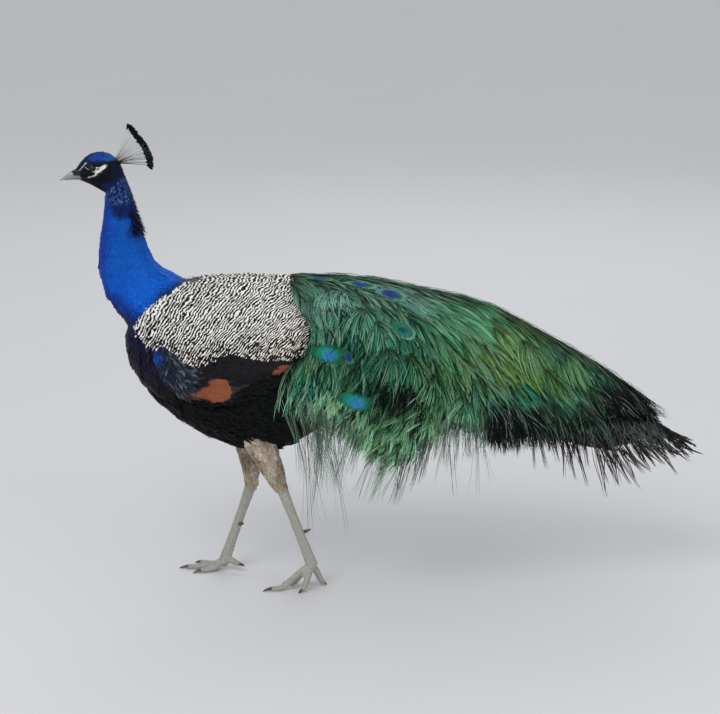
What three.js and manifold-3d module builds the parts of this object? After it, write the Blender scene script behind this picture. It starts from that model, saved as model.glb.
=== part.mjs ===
// An Indian peafowl cock, life size, caught in mid-stride with a part-grown train.
// Millimetres, +Z up. The bird faces -X, its left side is at -Y, and it stands on Z = 0.
// Each body part is a closed solid of its own; neighbours keep a small clear gap.
import * as THREE from "three";
import { mergeVertices } from "three/addons/utils/BufferGeometryUtils.js";
import Module from "manifold-3d";

const wasm = await Module();
wasm.setup();

// ---- Driving dimensions ----
const GAP = 0.3; // clear space kept between neighbouring parts
const HALF = GAP / 2;
const FLOOR_BITE = 1.2; // how far a toe would reach below the floor before its sole is cut flat

const colour = {
  crownBlue: 0x1a4fa8,
  neckBlue: 0x0b46b8,
  breastDark: 0x10131f,
  bill: 0x8d8a86,
  eye: 0x1b1009,
  crest: 0x123b3a,
  barred: 0xb9b4a4,
  wingDark: 0x15171c,
  rust: 0xb06a3c,
  trainGreen: 0x1e6b43,
  tailDark: 0x16191a,
  buff: 0xcdb590,
  shank: 0x8c8078,
  claw: 0x4a423c,
};

// ---- Small helpers ----
const vec = (x, y, z) => new THREE.Vector3(x, y, z);
const clamp01 = (t) => Math.min(1, Math.max(0, t));
const radians = THREE.MathUtils.degToRad;
const mix = THREE.MathUtils.lerp;

// A smooth value at t (0 to 1) along a short list of evenly spaced values.
function smooth(list, t) {
  const place = clamp01(t) * (list.length - 1);
  const i = Math.min(Math.floor(place), list.length - 2);
  const f = place - i;
  const b = list[i];
  const c = list[i + 1];
  const a = i > 0 ? list[i - 1] : 2 * b - c;
  const d = i + 2 < list.length ? list[i + 2] : 2 * c - b;
  const slope = c - a;
  const bend = 2 * a - 5 * b + 4 * c - d;
  const twist = 3 * b - a - 3 * c + d;
  return b + 0.5 * f * (slope + f * (bend + f * twist));
}

// A closed skin over rings with the same number of points, capped at both ends.
function skinRings(rings) {
  const sides = rings[0].length;
  const points = rings.flat();
  const faces = [];
  for (let r = 0; r + 1 < rings.length; r++) {
    for (let s = 0; s < sides; s++) {
      const a = r * sides + s;
      const b = r * sides + ((s + 1) % sides);
      faces.push(a, b, a + sides, b, b + sides, a + sides);
    }
  }
  const lastRow = (rings.length - 1) * sides;
  for (const [ring, first, forward] of [[rings[0], 0, false], [rings.at(-1), lastRow, true]]) {
    const middle = ring.reduce((sum, p) => sum.add(p), vec(0, 0, 0)).divideScalar(sides);
    const centre = points.push(middle) - 1;
    for (let s = 0; s < sides; s++) {
      const a = first + s;
      const b = first + ((s + 1) % sides);
      faces.push(...(forward ? [a, b, centre] : [b, a, centre]));
    }
  }
  return makeGeometry(points, faces);
}

function makeGeometry(points, faces) {
  const geometry = new THREE.BufferGeometry();
  geometry.setAttribute("position", new THREE.Float32BufferAttribute(points.flatMap((p) => p.toArray()), 3));
  geometry.setIndex(faces);
  return geometry;
}

// Between three.js geometry and a manifold-3d solid.
function toSolid(geometry) {
  const bare = geometry.clone();
  bare.deleteAttribute("normal");
  bare.deleteAttribute("uv");
  const merged = mergeVertices(bare, 1e-3);
  const all = merged.index.array;
  const kept = [];
  for (let i = 0; i < all.length; i += 3) {
    const [a, b, c] = [all[i], all[i + 1], all[i + 2]];
    if (a !== b && b !== c && a !== c) kept.push(a, b, c);
  }
  const vertProperties = merged.attributes.position.array;
  const build = (order) =>
    new wasm.Manifold(new wasm.Mesh({ numProp: 3, vertProperties, triVerts: new Uint32Array(order) }));
  const made = build(kept);
  if (made.volume() > 0) return made;
  return build(kept.map((_, i) => kept[i - (i % 3) + 2 - (i % 3)]));
}

function toGeometry(solid) {
  const { vertProperties, triVerts, numProp, numVert } = solid.getMesh();
  const points = [];
  for (let i = 0; i < numVert; i++) {
    points.push(vec(...vertProperties.subarray(i * numProp, i * numProp + 3)));
  }
  return makeGeometry(points, Array.from(triVerts));
}

// ---- Forms swept along a line ----
// Stations run along the form: up and down are its half depths on the dorsal and ventral side,
// and wide is its half width.
// Sections stand square to the line, or upright where the form says so. power above 2 squares a section off.
function sweep({ stations, rings = 10, sides = 16, power = 2, upright = false, grow = 0 }) {
  const value = (key, t) => smooth(stations.map((s) => s[key] ?? (key === "down" ? s.up : 0)), t);
  const middle = (t) => vec(value("x", t), value("y", t), value("z", t));
  const sideways = vec(0, 1, 0);
  const made = [];
  for (let r = 0; r <= rings; r++) {
    const t = r / rings;
    const along = middle(Math.min(t + 0.01, 1)).sub(middle(Math.max(t - 0.01, 0))).normalize();
    if (upright) along.set(1, 0, 0);
    const dorsal = along.clone().cross(sideways).normalize();
    const across = dorsal.clone().cross(along).normalize();
    const centre = middle(t);
    if (r === 0) centre.addScaledVector(along, -grow);
    if (r === rings) centre.addScaledVector(along, grow);
    const [up, down, wide] = ["up", "down", "wide"].map((key) => value(key, t) + grow);
    made.push(section(centre, dorsal, across, up, down, wide, sides, power));
  }
  return toSolid(skinRings(made));
}

function section(centre, dorsal, across, up, down, wide, sides, power) {
  return Array.from({ length: sides }, (_, s) => {
    const angle = (2 * Math.PI * s) / sides;
    const c = Math.cos(angle);
    const n = Math.sin(angle);
    const deep = (c > 0 ? up : down) * Math.sign(c) * Math.abs(c) ** (2 / power);
    const side = wide * Math.sign(n) * Math.abs(n) ** (2 / power);
    return centre.clone().addScaledVector(dorsal, deep).addScaledVector(across, side);
  });
}

// Stations given by their top and bottom edges seen from the side.
const byEdges = (list) =>
  list.map(({ x, top, bottom, wide }) => ({ x, z: (top + bottom) / 2, up: (top - bottom) / 2, wide }));

// A plate between two surfaces given over u and v from 0 to 1, with its four edges closed.
function plate(outer, inner, across, along) {
  const points = [];
  const faces = [];
  const at = (layer, i, j) => (layer * (across + 1) + i) * (along + 1) + j;
  for (const surface of [outer, inner]) {
    for (let i = 0; i <= across; i++) {
      for (let j = 0; j <= along; j++) points.push(surface(i / across, j / along));
    }
  }
  const quad = (a, b, c, d) => faces.push(a, b, c, a, c, d);
  for (let i = 0; i < across; i++) {
    for (let j = 0; j < along; j++) {
      quad(at(0, i, j), at(0, i + 1, j), at(0, i + 1, j + 1), at(0, i, j + 1));
      quad(at(1, i, j), at(1, i, j + 1), at(1, i + 1, j + 1), at(1, i + 1, j));
    }
  }
  for (let i = 0; i < across; i++) {
    quad(at(0, i, 0), at(1, i, 0), at(1, i + 1, 0), at(0, i + 1, 0));
    quad(at(0, i, along), at(0, i + 1, along), at(1, i + 1, along), at(1, i, along));
  }
  for (let j = 0; j < along; j++) {
    quad(at(0, 0, j), at(0, 0, j + 1), at(1, 0, j + 1), at(1, 0, j));
    quad(at(0, across, j), at(1, across, j), at(1, across, j + 1), at(0, across, j + 1));
  }
  return toSolid(makeGeometry(points, faces));
}

// ---- Head, neck and trunk: one form, parted by thin cuts ----
const headStations = byEdges([
  { x: -317, top: 789, bottom: 772, wide: 5 },
  { x: -307, top: 803, bottom: 767, wide: 10.5 },
  { x: -294, top: 815.5, bottom: 762, wide: 15.5 },
  { x: -280, top: 821, bottom: 754.5, wide: 19 },
  { x: -265, top: 821.5, bottom: 746, wide: 21.5 },
  { x: -250, top: 816, bottom: 741, wide: 21.5 },
  { x: -238, top: 804, bottom: 752, wide: 17.5 },
  { x: -231, top: 790, bottom: 765, wide: 8 },
]);

const neckStations = [
  { x: -254, z: 784, up: 22, wide: 20 },
  { x: -243, z: 758, up: 23, wide: 21 },
  { x: -238, z: 722, up: 29, wide: 24 },
  { x: -236, z: 680, up: 38, wide: 29 },
  { x: -233, z: 634, up: 48, wide: 36 },
  { x: -222, z: 588, up: 60, down: 56, wide: 45 },
  { x: -196, z: 548, up: 74, down: 57, wide: 60 },
  { x: -152, z: 505, up: 84, down: 78, wide: 74 },
];

// The trunk's stations stand closer together towards both ends, so the breast and rump come out round.
const trunkShape = {
  from: -235,
  to: 214,
  top: [486, 530, 566, 579, 584, 585, 583, 572, 530, 488],
  bottom: [458, 412, 361, 310, 271, 256, 288, 342, 406, 446],
  wide: [14, 52, 82, 99, 103, 103, 97, 80, 48, 16],
  power: 2.15,
};

const trunkLong = trunkShape.to - trunkShape.from;
const trunkShare = (x) => Math.acos(1 - (2 * (x - trunkShape.from)) / trunkLong) / Math.PI;
const trunkPlace = (share) => trunkShape.from + (trunkLong * (1 - Math.cos(Math.PI * share))) / 2;
const trunkTop = (x) => smooth(trunkShape.top, trunkShare(x));
const trunkBottom = (x) => smooth(trunkShape.bottom, trunkShare(x));
const trunkWide = (x) => smooth(trunkShape.wide, trunkShare(x));

// A point on the trunk: angle 0 is the ridge of the back and 180 the keel, side is -1 left or 1 right.
function onTrunk(x, angle, side, lift) {
  const half = (trunkTop(x) - trunkBottom(x)) / 2;
  const middle = (trunkTop(x) + trunkBottom(x)) / 2;
  const c = Math.cos(angle);
  const s = Math.sin(angle);
  const bend = 2 / trunkShape.power;
  return vec(
    x,
    side * (trunkWide(x) + lift) * Math.abs(s) ** bend,
    middle + (half + lift) * Math.sign(c) * Math.abs(c) ** bend,
  );
}

// The angle at which the trunk's side has this height.
function trunkAngle(x, height) {
  const half = (trunkTop(x) - trunkBottom(x)) / 2;
  const share = (height - (trunkTop(x) + trunkBottom(x)) / 2) / half;
  return Math.acos(Math.sign(share) * Math.min(1, Math.abs(share)) ** (trunkShape.power / 2));
}

function trunkForm(grow = 0) {
  const rings = Array.from({ length: 14 }, (_, i) => {
    const x = trunkPlace(i / 13);
    const half = (trunkTop(x) - trunkBottom(x)) / 2 + grow;
    const beyond = i === 0 ? -grow : i === 13 ? grow : 0;
    const centre = vec(x + beyond, 0, (trunkTop(x) + trunkBottom(x)) / 2);
    return section(centre, vec(0, 0, 1), vec(0, 1, 0), half, half, trunkWide(x) + grow, 16, trunkShape.power);
  });
  return toSolid(skinRings(rings));
}

const headForm = (grow = 0) =>
  sweep({ stations: headStations, rings: 9, sides: 12, power: 2.1, upright: true, grow });
const neckForm = (grow = 0) => sweep({ stations: neckStations, rings: 11, sides: 14, grow });

// Planes across the body, each by a point on it and the direction that leads towards the bill.
const cuts = {
  nape: { at: vec(-244, 0, 768), towards: vec(-0.7, 0, 0.714) },
  throat: { at: vec(-237, 0, 712), towards: vec(-0.05, 0, 0.999) },
  neck: { at: vec(-232, 0, 640), towards: vec(-0.1, 0, 0.995) },
  shoulder: { at: vec(-188, 0, 552), towards: vec(-0.5, 0, 0.866) },
};
const ahead = (solid, { at, towards }) => solid.trimByPlane(towards.toArray(), at.dot(towards) + HALF);
const behind = (solid, { at, towards }) =>
  solid.trimByPlane(towards.clone().negate().toArray(), -at.dot(towards) + HALF);

// ---- Bill and eyes ----
const billForm = (grow = 0) =>
  sweep({
    stations: [
      { x: -299, z: 780, up: 11, down: 12, wide: 8.6 },
      { x: -309, z: 779.8, up: 10.8, down: 11.6, wide: 8 },
      { x: -319, z: 778.4, up: 9.4, down: 9, wide: 6.6 },
      { x: -329, z: 775, up: 6, down: 5.7, wide: 4.8 },
      { x: -338, z: 771, up: 3.4, down: 3.2, wide: 2.9 },
      { x: -345.8, z: 767.8, up: 1.3, down: 1.3, wide: 1.1 },
    ],
    rings: 6,
    sides: 10,
    power: 2.2,
    grow,
  });

// The gape runs from the corner of the mouth forward and down to just under the hook of the upper bill.
const gape = { at: vec(-302, 0, 775.5), towards: vec(-0.18, 0, 0.984) };
const eye = { x: -284, z: 793, side: 12.2, radius: 7 };
const eyeBall = (side, grow = 0) =>
  toSolid(new THREE.SphereGeometry(eye.radius + grow, 10, 7).translate(eye.x, side * eye.side, eye.z));

// ---- Crest: a fan of bare shafts, each with a spoon-shaped tip ----
const crest = {
  x: -241,
  z: 803,
  shafts: 8,
  low: -8, // angle of the lowest shaft above level
  high: 70,
  reach: [70, 69, 66, 72], // from the root to the outer edge of the fan, lowest shaft first
  tip: 15,
  shaft: 0.8,
};

function crestForm() {
  let made = toSolid(new THREE.SphereGeometry(7, 8, 5).translate(crest.x, 0, crest.z));
  for (let i = 0; i < crest.shafts; i++) {
    const share = i / (crest.shafts - 1);
    const angle = radians(mix(crest.low, crest.high, share));
    const lean = 4.5 * Math.sin(i * 2.4); // the fan is a few millimetres thick
    const out = vec(Math.cos(angle), lean / crest.reach[0], Math.sin(angle)).normalize();
    const long = smooth(crest.reach, share) - crest.tip;
    const foot = vec(crest.x, 0, crest.z);
    const place = (long, half, wide) => {
      const p = foot.clone().addScaledVector(out, long);
      return { x: p.x, y: p.y, z: p.z, up: half, wide };
    };
    const spoon = [
      place(long, crest.shaft, crest.shaft),
      place(long + crest.tip * 0.4, 5.6, 1.3),
      place(long + crest.tip * 0.8, 5.4, 1.3),
      place(long + crest.tip, 1.2, 0.7),
    ];
    const shaft = [place(0, crest.shaft, crest.shaft), place(long + 1, crest.shaft, crest.shaft)];
    made = made.add(sweep({ stations: shaft, rings: 1, sides: 3 }));
    made = made.add(sweep({ stations: spoon, rings: 2, sides: 4 }));
  }
  return made;
}

// ---- Folded wings: plates that lie on the trunk ----
// Heights of a plate's upper and lower edge run evenly from its front to its back.
const wingPlates = {
  shoulder: {
    from: -222,
    to: 112,
    upper: [550, 572, 586, 600, 600, 600, 600, 600, 596, 508],
    lower: [532, 478, 448, 450, 457, 450, 448, 449, 458, 482],
    lift: 9,
    rows: 5,
    tone: "barred",
  },
  secondaries: {
    from: -190,
    to: 128,
    upper: [470, 456, 444, 448, 452, 446, 444, 446, 454, 462],
    lower: [452, 410, 384, 398, 412, 415, 424, 434, 444, 452],
    lift: 9,
    rows: 2,
    tone: "wingDark",
  },
  primaries: {
    from: -118,
    to: 132,
    upper: [388, 398, 411, 414, 416, 424, 434, 443, 451],
    lower: [380, 369, 368, 378, 394, 406, 418, 430, 442],
    lift: 6,
    rows: 1,
    tone: "rust",
  },
};
const RIDGE_ANGLE = radians(1.2); // left and right plates stop just short of the ridge
const EDGE_LIFT = 2.5; // how far a plate's edge stands off the trunk
const SUNK = 5; // how far a plate reaches in before the trunk's shape is cut from it

function wingPlate({ from, to, upper, lower, lift, rows }, side, grow = 0) {
  const place = (u, v, raised) => {
    const x = mix(from - grow, to + grow, u);
    const high = Math.max(RIDGE_ANGLE, trunkAngle(x, Math.min(smooth(upper, u) + grow, trunkTop(x))));
    const low = Math.max(high + radians(3), trunkAngle(x, smooth(lower, u) - grow));
    const bulge = Math.sin(Math.PI * u) ** 0.5 * Math.sin(Math.PI * clamp01(0.12 + 0.8 * v)) ** 0.6;
    return onTrunk(x, mix(high, low, v), side, raised ? EDGE_LIFT + lift * bulge + grow : -SUNK);
  };
  return plate((u, v) => place(u, v, true), (u, v) => place(u, v, false), 10, rows);
}

// ---- Train: long coverts arched over the tail, their loose barbs hanging as a curtain on each side ----
const train = {
  from: 98,
  to: 742,
  lead: [-10, -12, 10, 8, -20, -34], // the front edge from ridge to hem, passing behind the wing's end
  ridge: [594, 589, 576, 551, 516, 472, 424, 366],
  wide: [117, 129, 140, 142, 130, 108, 80, 40],
  shoulder: [92, 112, 128, 132, 118, 92, 66, 36],
  hang: [150, 152, 176, 124, 84, 40, 12, 4],
  thick: 7,
  archShare: 0.56, // how much of v the arch takes; the curtain takes the rest
  hemTeeth: 15,
  hemDepth: 26,
  endDepth: 26,
};

// u runs from front to back and v from the ridge to the hem, on the side given. depth is measured inwards.
function onTrain(u, v, side, depth) {
  const tooth = Math.abs(((u * train.hemTeeth) % 1) - 0.5) * 2;
  const ragged = Math.abs(((v * 10) % 1) - 0.5) * 2;
  const x = mix(train.from + smooth(train.lead, v), train.to + train.endDepth * (ragged - 1), u);
  const arch = Math.min(v / train.archShare, 1);
  const fall = clamp01((v - train.archShare) / (1 - train.archShare));
  const angle = (arch * Math.PI) / 2;
  const wide = smooth(train.wide, u) - depth;
  const high = smooth(train.shoulder, u) - depth;
  const hem = smooth(train.hang, u) + train.hemDepth * tooth * Math.min(1, smooth(train.hang, u) / 40);
  return vec(
    x,
    side * (wide * Math.sin(angle) - 10 * fall * fall),
    smooth(train.ridge, u) - smooth(train.shoulder, u) + high * Math.cos(angle) - hem * fall,
  );
}

function trainPiece(side, [u0, u1], [v0, v1], along, across) {
  const step = (low, high, t) => mix(low, high, t);
  const surface = (depth) => (a, b) => onTrain(step(u0, u1, a), step(v0, v1, b), side, depth);
  return plate(surface(0), surface(train.thick), along, across);
}

// The crown of the train crosses the ridge, so it runs from one side's v to the other's.
function trainCrown([u0, u1], reach, along, across) {
  const surface = (depth) => (a, b) => {
    const v = mix(-reach, reach, b);
    return onTrain(mix(u0, u1, a), Math.abs(v), Math.sign(v) || 1, depth);
  };
  return plate(surface(0), surface(train.thick), along, across);
}

// ---- Tail: stiff dark feathers fanned under the train ----
const tail = {
  feathers: 9,
  from: 196,
  to: 829,
  ridge: [506, 488, 470, 450, 419, 375, 322, 266],
  wide: [30, 56, 76, 84, 82, 74, 58, 36],
  drop: [34, 62, 92, 116, 124, 120, 100, 66],
  spread: radians(100), // angle of the outermost feather from the ridge
  thick: 3.4,
  shortening: 150, // how much shorter the outermost feather is than the middle one
};

function tailFeather(i) {
  const half = (tail.feathers - 1) / 2;
  const share = (i - half) / half;
  const centre = share * (tail.spread * (1 - 0.5 / tail.feathers));
  const halfAngle = (tail.spread / tail.feathers) * 0.97;
  const end = (tail.to - tail.shortening * share * share - tail.from) / (tail.to - tail.from);
  const surface = (depth) => (a, b) => {
    const u = a * end;
    const taper = a > 0.86 ? Math.sqrt(Math.max(0.02, 1 - ((a - 0.86) / 0.14) ** 2)) : 1;
    const angle = centre + mix(-halfAngle, halfAngle, b) * taper;
    const wide = smooth(tail.wide, u) - depth;
    const drop = smooth(tail.drop, u) - depth;
    return vec(
      mix(tail.from, tail.to, u),
      wide * Math.sin(angle),
      smooth(tail.ridge, u) - smooth(tail.drop, u) + drop * Math.cos(angle),
    );
  };
  return plate(surface(0), surface(tail.thick), 9, 1);
}

// ---- Legs ----
// The left foot pushes off with its heel raised; the right foot is planted ahead.
const legs = {
  left: {
    side: -1,
    thigh: [
      { x: -8, z: 334, up: 42, wide: 30 },
      { x: 13, z: 288, up: 29, wide: 26 },
      { x: 30.5, z: 248, up: 23.5, wide: 19 },
      { x: 44, z: 216, up: 17.5, wide: 13 },
      { x: 54, z: 192, up: 9.5, wide: 9 },
    ],
    lateral: 50,
    hock: [52, 200],
    joint: [107, 50],
    toes: {
      middle: [[76, -56, 25], [52, -60, 7.5], [33, -63, 5.6], [16, -66, 2]],
      outer: [[100, -60, 26], [95, -67, 11], [90, -71, 5.2], [83, -76, 2]],
      inner: [[86, -42, 25], [72, -35, 7.2], [62, -31, 5.2], [51, -27, 2]],
      hind: [[116, -42, 32], [123, -37, 16], [128, -33, 6], [135, -29, 2]],
    },
    spur: { at: [87, -47, 108.5], towards: [20, 2.5, 8] },
  },
  right: {
    side: 1,
    thigh: [
      { x: -4, z: 330, up: 46, wide: 30 },
      { x: -10, z: 278, up: 36, wide: 26 },
      { x: -10, z: 232, up: 23, wide: 19 },
      { x: -9, z: 194, up: 15, wide: 12 },
      { x: -10, z: 164, up: 10, wide: 9 },
    ],
    lateral: 50,
    hock: [-10, 171],
    joint: [-62, 21],
    toes: {
      middle: [[-86, 52, 9], [-108, 54, 6.2], [-131, 56, 5.4], [-150, 58, 2]],
      outer: [[-80, 61, 8.5], [-94, 71, 6], [-108, 80, 5], [-122, 89, 2]],
      inner: [[-79, 42, 8.5], [-93, 38, 6], [-107, 34, 5], [-122, 30, 2]],
      hind: [[-49, 44, 22], [-41, 41, 18], [-34, 39, 16], [-23, 36, 13]],
    },
    spur: { at: [-33, 46, 95], towards: [10, -10, 4] },
  },
};
const shank = { top: 12.5, deep: 10, wide: 7.5, ball: 12 };
const toeRadius = { root: 7.2, end: 5.4 };

const thighForm = (leg, grow = 0) =>
  sweep({
    stations: leg.thigh.map((s) => ({ ...s, y: leg.side * leg.lateral })),
    rings: 5,
    sides: 10,
    grow,
  });

function shankForm(leg, grow = 0) {
  const y = leg.side * leg.lateral;
  const [hockX, hockZ] = leg.hock;
  const [jointX, jointZ] = leg.joint;
  const place = (t, up, wide) => ({ x: mix(hockX, jointX, t), y, z: mix(hockZ, jointZ, t), up, wide });
  return sweep({
    stations: [
      place(-0.05, 6, 6),
      place(0.01, shank.top, 10),
      place(0.14, shank.deep, 8),
      place(0.45, shank.deep - 0.6, shank.wide),
      place(0.8, shank.deep, shank.wide + 0.4),
      place(1, shank.ball, shank.ball - 1),
      place(1.07, 6, 6),
    ],
    rings: 7,
    sides: 8,
    grow,
  }).trimByPlane([0, 0, 1], 0);
}

function toeForms(leg, points, grow = 0) {
  const [jointX, jointZ] = leg.joint;
  const [a, b, c, tip] = points;
  const onFloor = tip[2] < 4;
  const place = ([x, y, z], r) => ({ x, y, z, up: r, wide: r });
  const settled = ([x, y], r) => place([x, y, r - FLOOR_BITE], r); // a section whose sole is cut by the floor
  const end = toeRadius.end;
  const toe = sweep({
    stations: [
      place([jointX, leg.side * leg.lateral, jointZ], toeRadius.root),
      place(a, toeRadius.root - 0.4),
      onFloor && b[2] < 10 ? settled(b, end + 0.9) : place(b, end + 0.6),
      onFloor ? settled(c, end) : place(c, end - 0.4),
    ],
    rings: 5,
    sides: 7,
    grow,
  });
  const peak = vec(...c).lerp(vec(...tip), 0.35);
  const late = vec(...c).lerp(vec(...tip), 0.75);
  const heel = vec(...b).lerp(vec(...c), 0.8);
  const claw = sweep({
    stations: [
      place([heel.x, heel.y, Math.max(heel.z, 4.6)], 3.4),
      place([peak.x, peak.y, onFloor ? 4.6 : c[2] - 0.5], 3.1),
      place([late.x, late.y, onFloor ? 2.4 : tip[2] + 1], 1.9),
      place(tip.with(2, onFloor ? 0.2 : tip[2]), 0.7),
    ],
    rings: 3,
    sides: 5,
    grow,
  });
  const nailBed = { at: vec(...c), towards: vec(...c).sub(vec(...b)).normalize() };
  return {
    toe: behind(toe, nailBed).trimByPlane([0, 0, 1], 0),
    claw: ahead(claw, nailBed).trimByPlane([0, 0, 1], 0),
  };
}

// A spur is a blunt thorn whose root lies inside the shank.
function spurForm({ at, towards }) {
  const place = (t, up, wide) => {
    const p = vec(...at).addScaledVector(vec(...towards), t);
    return { x: p.x, y: p.y, z: p.z, up, wide };
  };
  return sweep({
    stations: [place(0, 4.6, 4.2), place(0.45, 3.8, 3.2), place(0.78, 2.2, 1.9), place(1, 0.5, 0.5)],
    rings: 4,
    sides: 6,
  });
}

// ---- Put the bird together ----
const bird = new THREE.Group();
const larger = (a, b) => (b.volume() > a.volume() ? b : a);
const largest = (solid) => solid.decompose().reduce(larger);

function add(name, solid, tone, roughness = 0.7) {
  const material = new THREE.MeshStandardMaterial({ color: colour[tone], roughness, metalness: 0 });
  const mesh = new THREE.Mesh(toGeometry(largest(solid)), material);
  mesh.name = name;
  bird.add(mesh);
}

function addHeadAndBody() {
  let flesh = headForm().add(neckForm()).add(trunkForm());
  const bill = billForm(GAP);
  const head = ahead(flesh, cuts.nape)
    .subtract(bill)
    .subtract(eyeBall(-1, GAP))
    .subtract(eyeBall(1, GAP));
  add("head", head, "crownBlue");
  add("bill_upper", ahead(billForm(), gape), "bill", 0.4);
  add("bill_lower", behind(billForm(), gape).trimByPlane([1, 0, 0], -336), "bill", 0.4);
  add("eye_left", eyeBall(-1), "eye", 0.1);
  add("eye_right", eyeBall(1), "eye", 0.1);
  add("crest", crestForm().subtract(headForm(GAP)).subtract(neckForm(GAP)), "crest");
  const below = behind(flesh, cuts.nape).subtract(bill);
  add("neck_upper", ahead(below, cuts.throat), "neckBlue");
  add("neck_middle", ahead(behind(below, cuts.throat), cuts.neck), "neckBlue");
  add("neck_lower", ahead(behind(below, cuts.neck), cuts.shoulder), "neckBlue");
  add("trunk", behind(flesh, cuts.shoulder), "breastDark");
}

// Returns the wings' grown shapes, for cutting from what lies over them.
function addWings() {
  let wings = neckForm(GAP).add(trunkForm(GAP));
  for (const [word, side] of [["left", -1], ["right", 1]]) {
    for (const [name, shape] of Object.entries(wingPlates)) {
      add(`wing_${word}_${name}`, wingPlate(shape, side).subtract(wings), shape.tone);
      wings = wings.add(wingPlate(shape, side, GAP));
    }
  }
  return wings;
}

function addTrainAndTail(wings) {
  const crownReach = 0.3;
  const step = 0.0008; // a share of the train's length, for the gap between its pieces
  const parts = { front: [0, 1 / 3 - step], middle: [1 / 3, 2 / 3 - step], rear: [2 / 3, 1] };
  for (const [name, span] of Object.entries(parts)) {
    add(`train_crown_${name}`, trainCrown(span, crownReach, 5, 6).subtract(wings), "trainGreen");
    for (const [word, side] of [["left", -1], ["right", 1]]) {
      const curtain = trainPiece(side, span, [crownReach + 0.004, 1], 9, 4);
      add(`train_${word}_${name}`, curtain.subtract(wings), "trainGreen");
    }
  }
  for (let i = 0; i < tail.feathers; i++) {
    add(`tail_feather_${i + 1}`, tailFeather(i).subtract(trunkForm(GAP)), "tailDark");
  }
}

function addLeg(word, leg) {
  const shin = shankForm(leg);
  const grownShin = shankForm(leg, GAP);
  const spur = spurForm(leg.spur).subtract(grownShin);
  add(`thigh_${word}`, thighForm(leg).subtract(grownShin).subtract(trunkForm(GAP)), "buff");
  add(`shank_${word}`, shin, "shank");
  add(`spur_${word}`, spur, "claw", 0.4);
  let taken = grownShin;
  for (const [name, points] of Object.entries(leg.toes)) {
    const { toe, claw } = toeForms(leg, points);
    add(`toe_${word}_${name}`, toe.subtract(taken), "shank");
    add(`claw_${word}_${name}`, claw, "claw", 0.4);
    taken = taken.add(toeForms(leg, points, GAP).toe);
  }
}

addHeadAndBody();
addTrainAndTail(addWings());
for (const [word, leg] of Object.entries(legs)) addLeg(word, leg);

// The origin is on the floor, under the middle of the bird's bounding box.
const box = new THREE.Box3().setFromObject(bird);
const centre = box.getCenter(vec(0, 0, 0));
bird.position.set(-centre.x, -centre.y, -box.min.z);

export default bird;
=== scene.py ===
import math
import bmesh
import bpy
import numpy as np
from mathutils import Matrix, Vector
from mathutils.bvhtree import BVHTree


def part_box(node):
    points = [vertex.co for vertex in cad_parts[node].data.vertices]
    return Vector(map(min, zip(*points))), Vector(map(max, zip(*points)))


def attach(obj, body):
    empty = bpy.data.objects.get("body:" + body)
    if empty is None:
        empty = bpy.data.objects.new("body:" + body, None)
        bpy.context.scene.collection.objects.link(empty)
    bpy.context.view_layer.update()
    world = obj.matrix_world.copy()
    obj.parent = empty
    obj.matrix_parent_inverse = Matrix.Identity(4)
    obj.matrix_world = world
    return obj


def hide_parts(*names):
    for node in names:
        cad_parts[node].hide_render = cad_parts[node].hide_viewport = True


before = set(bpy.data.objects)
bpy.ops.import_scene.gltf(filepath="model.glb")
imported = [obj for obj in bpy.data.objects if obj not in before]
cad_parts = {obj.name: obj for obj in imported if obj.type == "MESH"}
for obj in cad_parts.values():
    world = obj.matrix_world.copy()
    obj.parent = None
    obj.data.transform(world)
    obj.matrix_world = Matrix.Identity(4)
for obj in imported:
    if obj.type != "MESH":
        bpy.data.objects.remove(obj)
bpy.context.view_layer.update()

# Lengths along the bird are in mm, counted from the hips: bill at -345, tail tip at 829, floor at z 0,
# left side at -y.
eyeX, eyeZ = -284, 793  # the middle of the eyes
eyeLow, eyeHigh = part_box("eye_left")
hipsX = (eyeLow.x + eyeHigh.x) / 2 - eyeX / 1000


def toBird(points):
    return (np.asarray(points, float) - [hipsX, 0, 0]) * 1000


def toFrame(points):
    return np.asarray(points, float) / 1000 + [hipsX, 0, 0]


# Small tools for arrays
def unit(v):
    return v / np.maximum(np.linalg.norm(v, axis=-1, keepdims=True), 1e-9)


def ramp(low, high, x):
    t = np.clip((x - low) / (high - low), 0, 1)
    return t * t * (3 - 2 * t)


def mixed(a, b, share):
    # Blends colours or points; share is one number or one for each row.
    a, b = np.asarray(a, float), np.asarray(b, float)
    return a + (b - a) * np.asarray(share, float)[..., None]


def linear(code):
    value = np.array([int(code[i:i + 2], 16) / 255 for i in (0, 2, 4)])
    return np.where(value <= 0.04045, value / 12.92, ((value + 0.055) / 1.055) ** 2.4)


def linears(codes):
    return {name: linear(code) for name, code in codes.items()}


def tableAt(table, x):
    # Reads a table of (x, value) pairs.
    return np.interp(x, *np.array(table, float).T)


def between(x, marks):
    # The mark before x, and the share of the way from there to the next one.
    at = np.clip(np.interp(x, marks, np.arange(len(marks))), 0, len(marks) - 1.001)
    return at.astype(int), at - at.astype(int)


def blob(x, z, midX, midZ, long, tall):
    # A soft round spot: 1 in the middle, fading to 0.
    return np.exp(-((x - midX) / long) ** 2 - ((z - midZ) / tall) ** 2)


def joined(parts):
    # Puts meshes together; each part is its points, its faces and what else goes with the points.
    starts = np.cumsum([0] + [len(part[0]) for part in parts])
    moved = [(part[0], part[1] + start, *part[2:]) for part, start in zip(parts, starts)]
    return [np.concatenate(column) for column in zip(*moved)]


def gridFaces(rows, columns):
    # The quads of a sheet of rows times columns points.
    start = (np.arange(rows - 1)[:, None] * columns + np.arange(columns - 1)).ravel()
    return np.stack([start, start + 1, start + columns + 1, start + columns], 1)


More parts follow.
